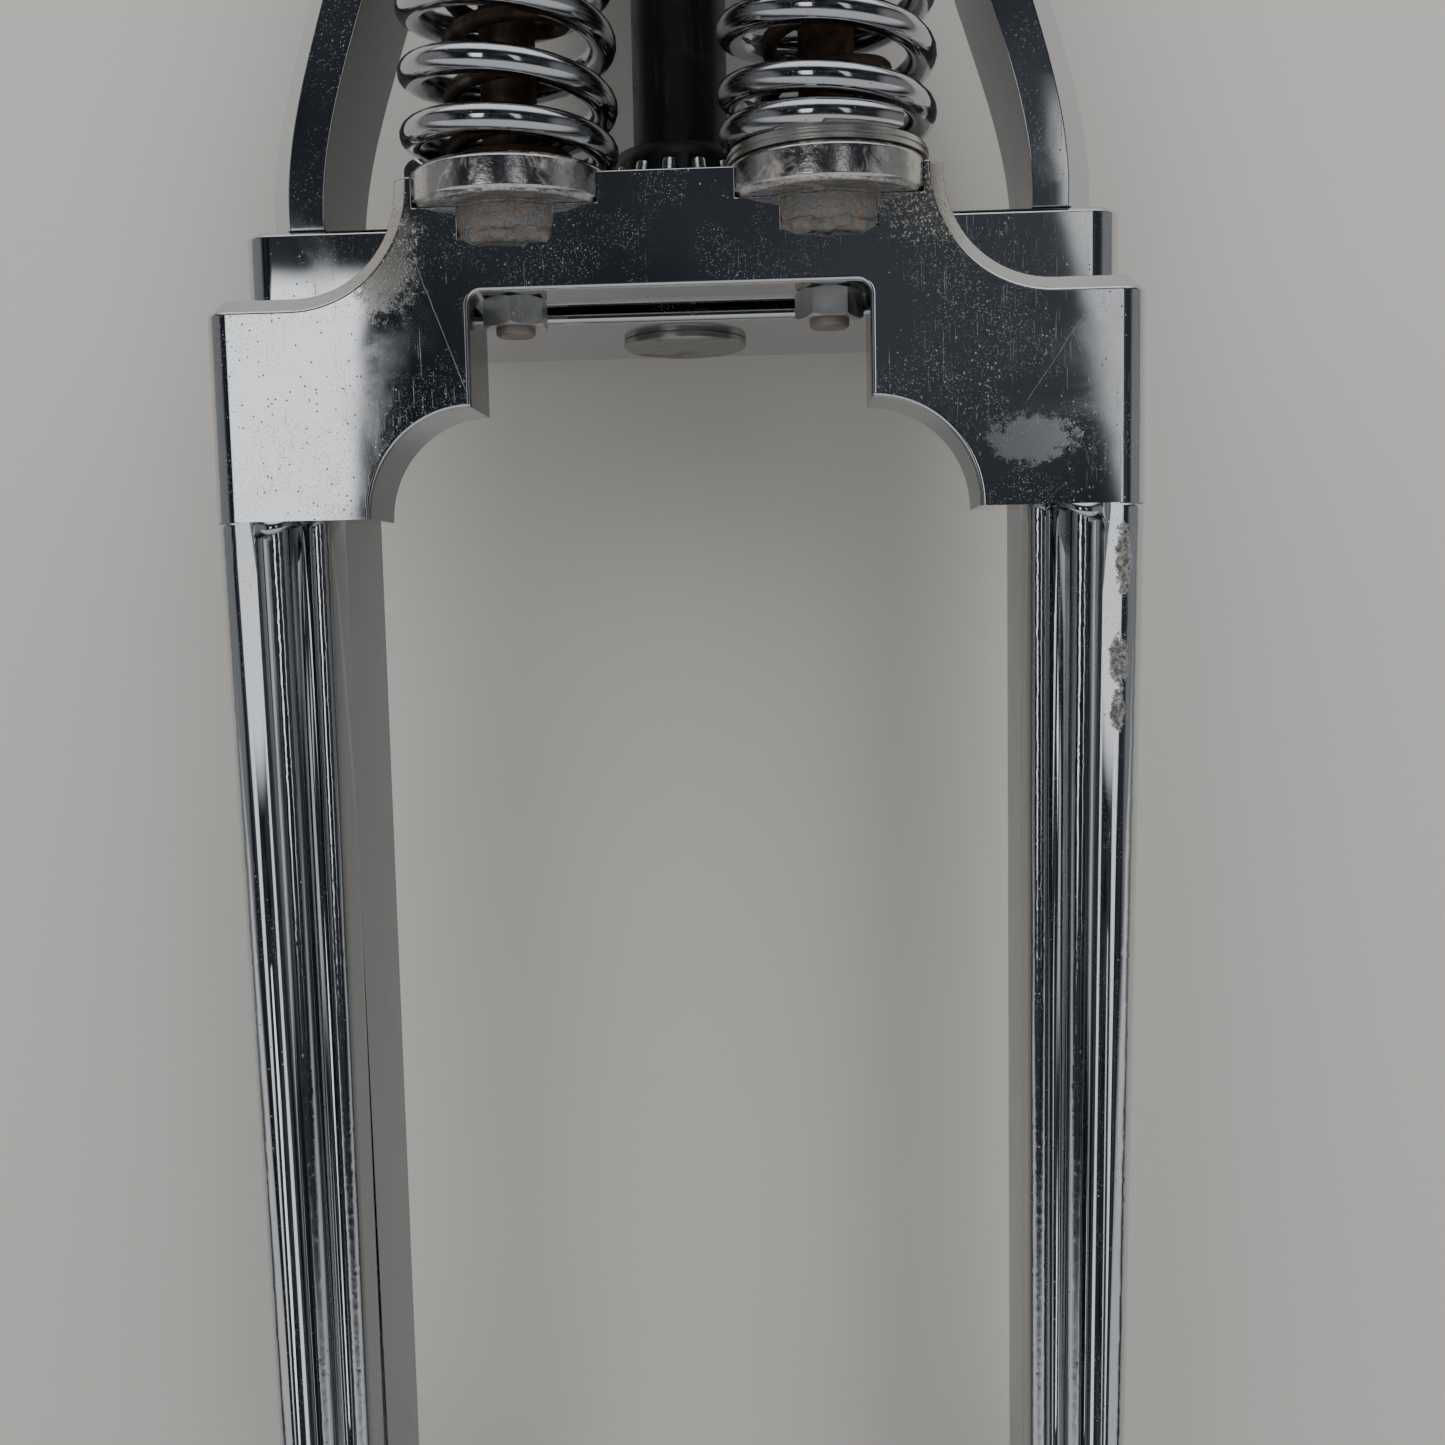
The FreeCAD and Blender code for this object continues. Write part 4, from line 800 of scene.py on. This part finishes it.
@dataclass
class SpringFork:
    """Front fork: crown, legs, perches, rods and their nuts."""
    finishes: Finishes
    thread_pitch: float = 1.6 * MM

    def build(self) -> None:
        """Show every piece of the sprung fork."""
        done = self.finishes
        dress("fork_crown", done.crown, 0.0005, 20.0, joint_z=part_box("fork_crown")[0][2])
        dress("front_leg_left", done.leg, 0.0)
        dress("front_leg_right", done.right_leg, 0.0)
        dress("rod_foot_nuts", done.nut, 0.00025)
        dress("rod_retainers", done.chrome, 0.0002)
        dress("rod_cap_nuts", done.chrome, 0.0002)
        dress("front_pivot_bushes", done.bronze, 0.0002)
        dress("front_grease_nipples", done.washer, 0.0001)
        dress("perch_shims", done.shim, 0.00012)
        for side in Side:
            dress("spring_perch_" + side.word, done.perch, 0.0006)
            dress("spring_rod_" + side.word, done.rod, 0.0002)
            self.foot_thread(side)
            self.hub_weld(side)

    def foot_thread(self, side: Side) -> None:
        """Thread on the rod's end below its nut."""
        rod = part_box("spring_rod_" + side.word)
        nut_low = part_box("rod_foot_nuts")[0][2]
        middle = centre("spring_rod_" + side.word)
        radius = 4.76 * MM
        foot = Vector((middle.x, middle.y, rod[0][2] + 0.3 * MM))
        bm = thread_mesh(radius, self.thread_pitch * 0.6, foot, nut_low - foot.z)
        Piece("rod_thread_" + side.word, bm, self.finishes.nut).belongs("spring_fork")

    def hub_weld(self, side: Side) -> None:
        """Weld bead where the perch's hub meets the crown's web."""
        perch = "spring_perch_" + side.word
        middle = centre(perch)
        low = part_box(perch)[0][2]
        spot = Vector((middle.x, middle.y, low + 0.6 * MM))
        bm = weld_ring(spot, 13.6 * MM, 1.9 * MM, float(side.value))
        Piece("hub_weld_" + side.word, bm, self.finishes.weld).belongs("spring_fork")


@dataclass
class Springs:
    """Main, inner and rebound springs."""
    finishes: Finishes
    main: Coil = Coil(26.2 * MM, 3.5 * MM, 12.6, hand=-1)
    inner: Coil = Coil(15.6 * MM, 2.0 * MM, 15.4, sides=12)
    rebound: Coil = Coil(15.0 * MM, 2.3 * MM, 7.0, hand=-1, sides=14)
    phases: tuple = ((-1, 180.0), (1, 310.0))

    def build(self) -> None:
        """Wind the springs on both sides."""
        for side in Side:
            turn = math.radians(dict(self.phases)[side.value])
            for kind, coil, finish, slot in (("main_spring", self.main, self.finishes.spring, "spring_steel"),
                                             ("inner_spring", self.inner, self.finishes.inner, "rusty_steel")):
                node = f"{kind}_{side.word}"
                piece, foot, height = self.wound(node, coil, turn, finish, slot, "spring_fork")
                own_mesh(piece.object)
            self.wound(f"rebound_spring_{side.word}", self.rebound, turn, self.finishes.spring,
                       "spring_steel", "rigid_fork")

    @staticmethod
    def travel() -> float:
        """Lift of the sprung fork when the rockers reach their upper stop."""
        joints = {j["name"]: j for j in frame["record"]["behaviour"]["joints"]}
        rear, front = joints["rocker_left_pivot"], joints["front_fork_pivot"]
        reach = math.dist(rear["pos_m"][1:], front["pos_m"][1:])
        return 2 * reach * math.sin(math.radians(rear["range_deg"][1]) / 2)

    @staticmethod
    def wound(node: str, coil: Coil, turn: float, finish: bpy.types.Material, slot: str,
              body: str) -> tuple:
        """Make one spring in the place of its node.

        Args:
            node: The node that the spring stands for.
            coil: Its wire, radius and turns.
            turn: Angle at which the wire starts, in radians.
            finish: Its material.
            slot: Not used.
            body: The body that it rides on.

        Returns:
            The piece, the middle of its foot and its height.
        """
        low, high = (Vector(v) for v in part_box(node))
        mate = "spring_rod_" + node.rsplit("_", 1)[1]
        middle = centre(mate)
        if body == "rigid_fork":
            middle = Vector(((low.x + high.x) / 2, (low.y + high.y) / 2, 0))
        foot = Vector((middle.x, middle.y, low.z))
        height = high.z - low.z
        set_coil = Coil(coil.radius, coil.wire, coil.turns, coil.closed, turn, coil.hand,
                        coil.steps, coil.sides)
        piece = Piece(node + "_wound", set_coil.mesh(foot, height), finish, 60.0)
        piece.belongs(body, [node])
        return piece, foot, height


@dataclass
class Rockers:
    """Rockers with their studs, washers and domed nuts."""
    finishes: Finishes

    def build(self) -> None:
        """Show both rockers."""
        for side in Side:
            dress("rocker_" + side.word, self.finishes.chrome, 0.0006)
            dress("pivot_studs_" + side.word, self.finishes.washer, 0.0003)
            dress("pivot_washers_" + side.word, self.finishes.washer, 0.0003)
            dress("pivot_nuts_" + side.word, self.finishes.chrome, 0.0002)


# ------------------------------------------------------------------ studio

@dataclass
class Studio:
    """Camera, table, soft lights and surroundings."""
    eye: tuple = (0.0273, -0.411, -0.094)
    yaw: float = -2.675
    pitch: float = 5.07
    roll: float = 1.165
    lens: float = 36.75
    table_gap: float = 0.012

    def build(self) -> None:
        """Set up everything round the fork."""
        self.camera()
        self.table()
        self.lights()
        self.surroundings()

    def camera(self) -> None:
        """Place the camera just below the crown, ahead of the fork."""
        yaw, pitch, roll = (math.radians(a) for a in (self.yaw, self.pitch, self.roll))
        ahead = Vector((math.sin(yaw) * math.cos(pitch), math.cos(yaw) * math.cos(pitch), -math.sin(pitch)))
        level = Vector((math.cos(yaw), -math.sin(yaw), 0))
        up = level.cross(ahead)
        right = level * math.cos(roll) - up * math.sin(roll)
        top = up * math.cos(roll) + level * math.sin(roll)
        turn = Matrix((right, top, -ahead)).transposed().to_4x4()
        data = bpy.data.cameras.new("view")
        data.lens = self.lens
        data.clip_start = 0.01
        view = bpy.data.objects.new("view", data)
        view.matrix_world = Matrix.Translation(self.eye) @ turn
        bpy.context.scene.collection.objects.link(view)
        bpy.context.scene.camera = view

    def table(self) -> None:
        """Pale table that the fork lies on with its back."""
        back = CAD_BOX[1][1] + self.table_gap
        bm = bmesh.new()
        place = Matrix.Translation((0, back, -0.05)) @ Matrix.Rotation(math.pi / 2, 4, "X")
        bmesh.ops.create_grid(bm, x_segments=2, y_segments=2, size=4.0, matrix=place)
        sheet = Piece("table", bm, PaleTable().material())

    @staticmethod
    def lamp(name: str, place: tuple, aim: tuple, size: tuple, power: float,
             ) -> None:
        """Add a soft rectangular lamp that neither the camera nor the chrome sees."""
        data = bpy.data.lights.new(name, "AREA")
        data.shape = "RECTANGLE"
        data.size, data.size_y = size
        data.energy = power
        lamp = bpy.data.objects.new(name, data)
        facing = (Vector(aim) - Vector(place)).to_track_quat("-Z", "Y")
        lamp.matrix_world = Matrix.Translation(place) @ facing.to_matrix().to_4x4()
        lamp.visible_camera = False
        lamp.visible_glossy = False
        bpy.context.scene.collection.objects.link(lamp)

    def lights(self) -> None:
        """Soft lamps that cast the light; the room below is what the chrome reflects."""
        self.lamp("left_lamp", (-0.62, -0.93, 0.30), (-0.1, 0, -0.05), (0.7, 0.9), 4.5)
        self.lamp("right_lamp", (0.60, -0.95, 0.25), (0.1, 0, -0.05), (0.6, 0.8), 5.0)
        self.lamp("top_lamp", (0.0, -0.55, 0.95), (0, 0, 0.05), (1.2, 0.5), 5.0)
        self.lamp("low_lamp", (0.1, -1.3, -0.9), (0, 0, -0.2), (1.2, 0.8), 6.0)

    @staticmethod
    def surroundings() -> None:
        """Pale room for the eye; in reflections a dark room with soft white panels."""
        world = bpy.data.worlds.new("room")
        bpy.context.scene.world = world
        t = Tree(world)
        toward = t.node("ShaderNodeTexCoord", {}, {}, "Generated")
        x, y, z = (t.node("ShaderNodeSeparateXYZ", {}, [toward], k) for k in "XYZ")
        ahead = (0.0 - y).larger(0.05)
        front = y.step(-0.05, -0.30)
        across, height = x / ahead, z / ahead
        left_edge = across + (0.20 - height) * 0.10
        right_edge = across - (0.266 - height) * 0.187
        left = left_edge.step(-0.276, -0.286) * across.step(-0.62, -0.48) * height.step(-0.34, -0.12)
        left = left * height.step(0.226, 0.208) * front
        right = right_edge.step(0.176, 0.192) * across.step(0.42, 0.34) * height.step(-0.36, -0.10)
        right = right * height.step(0.34, 0.28) * front
        floor = height.step(-0.40, -0.75) * front
        sides = x.larger(0.0 - x).step(0.72, 0.86) * z.step(-0.55, -0.1) * z.step(0.62, 0.45)
        ceiling = z.step(0.60, 0.80)
        glow = left * 1.9 + right * 0.85 + floor * 0.65 + sides * 0.22 + ceiling * 1.3
        haze = t.node("ShaderNodeTexNoise", {}, {"Vector": toward, "Scale": 3.0, "Detail": 2.0})
        dark = t.mix(haze.step(0.35, 0.70), (0.012, 0.014, 0.018), (0.060, 0.066, 0.076))
        seen = t.mix(glow.clamped(), dark, (0.98, 0.99, 1.0))
        level = (glow - 1.0).larger(0.0) + 1.0
        rays = t.node("ShaderNodeLightPath", {}, {}, "Is Glossy Ray")
        pale = t.node("ShaderNodeBackground", {}, {"Color": (0.80, 0.79, 0.77), "Strength": 0.42})
        mirror = t.node("ShaderNodeBackground", {}, {"Color": seen, "Strength": level})
        t.node("ShaderNodeOutputWorld", {"target": "ALL"}, {
            "Surface": t.node("ShaderNodeMixShader", {}, [rays, pale, mirror])}, None)


def write_sizes() -> None:
    """Update the view layer; no sizes are kept."""
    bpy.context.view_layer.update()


def main() -> None:
    """Build the fork's looks and its studio."""
    logging.basicConfig(level=logging.INFO)
    finishes = Finishes()
    for group in (RigidFork(finishes), Bearings(finishes), SpringFork(finishes), Springs(finishes),
                  Rockers(finishes)):
        group.build()
    Studio().build()
    write_sizes()


if __name__ == "__main__":
    main()
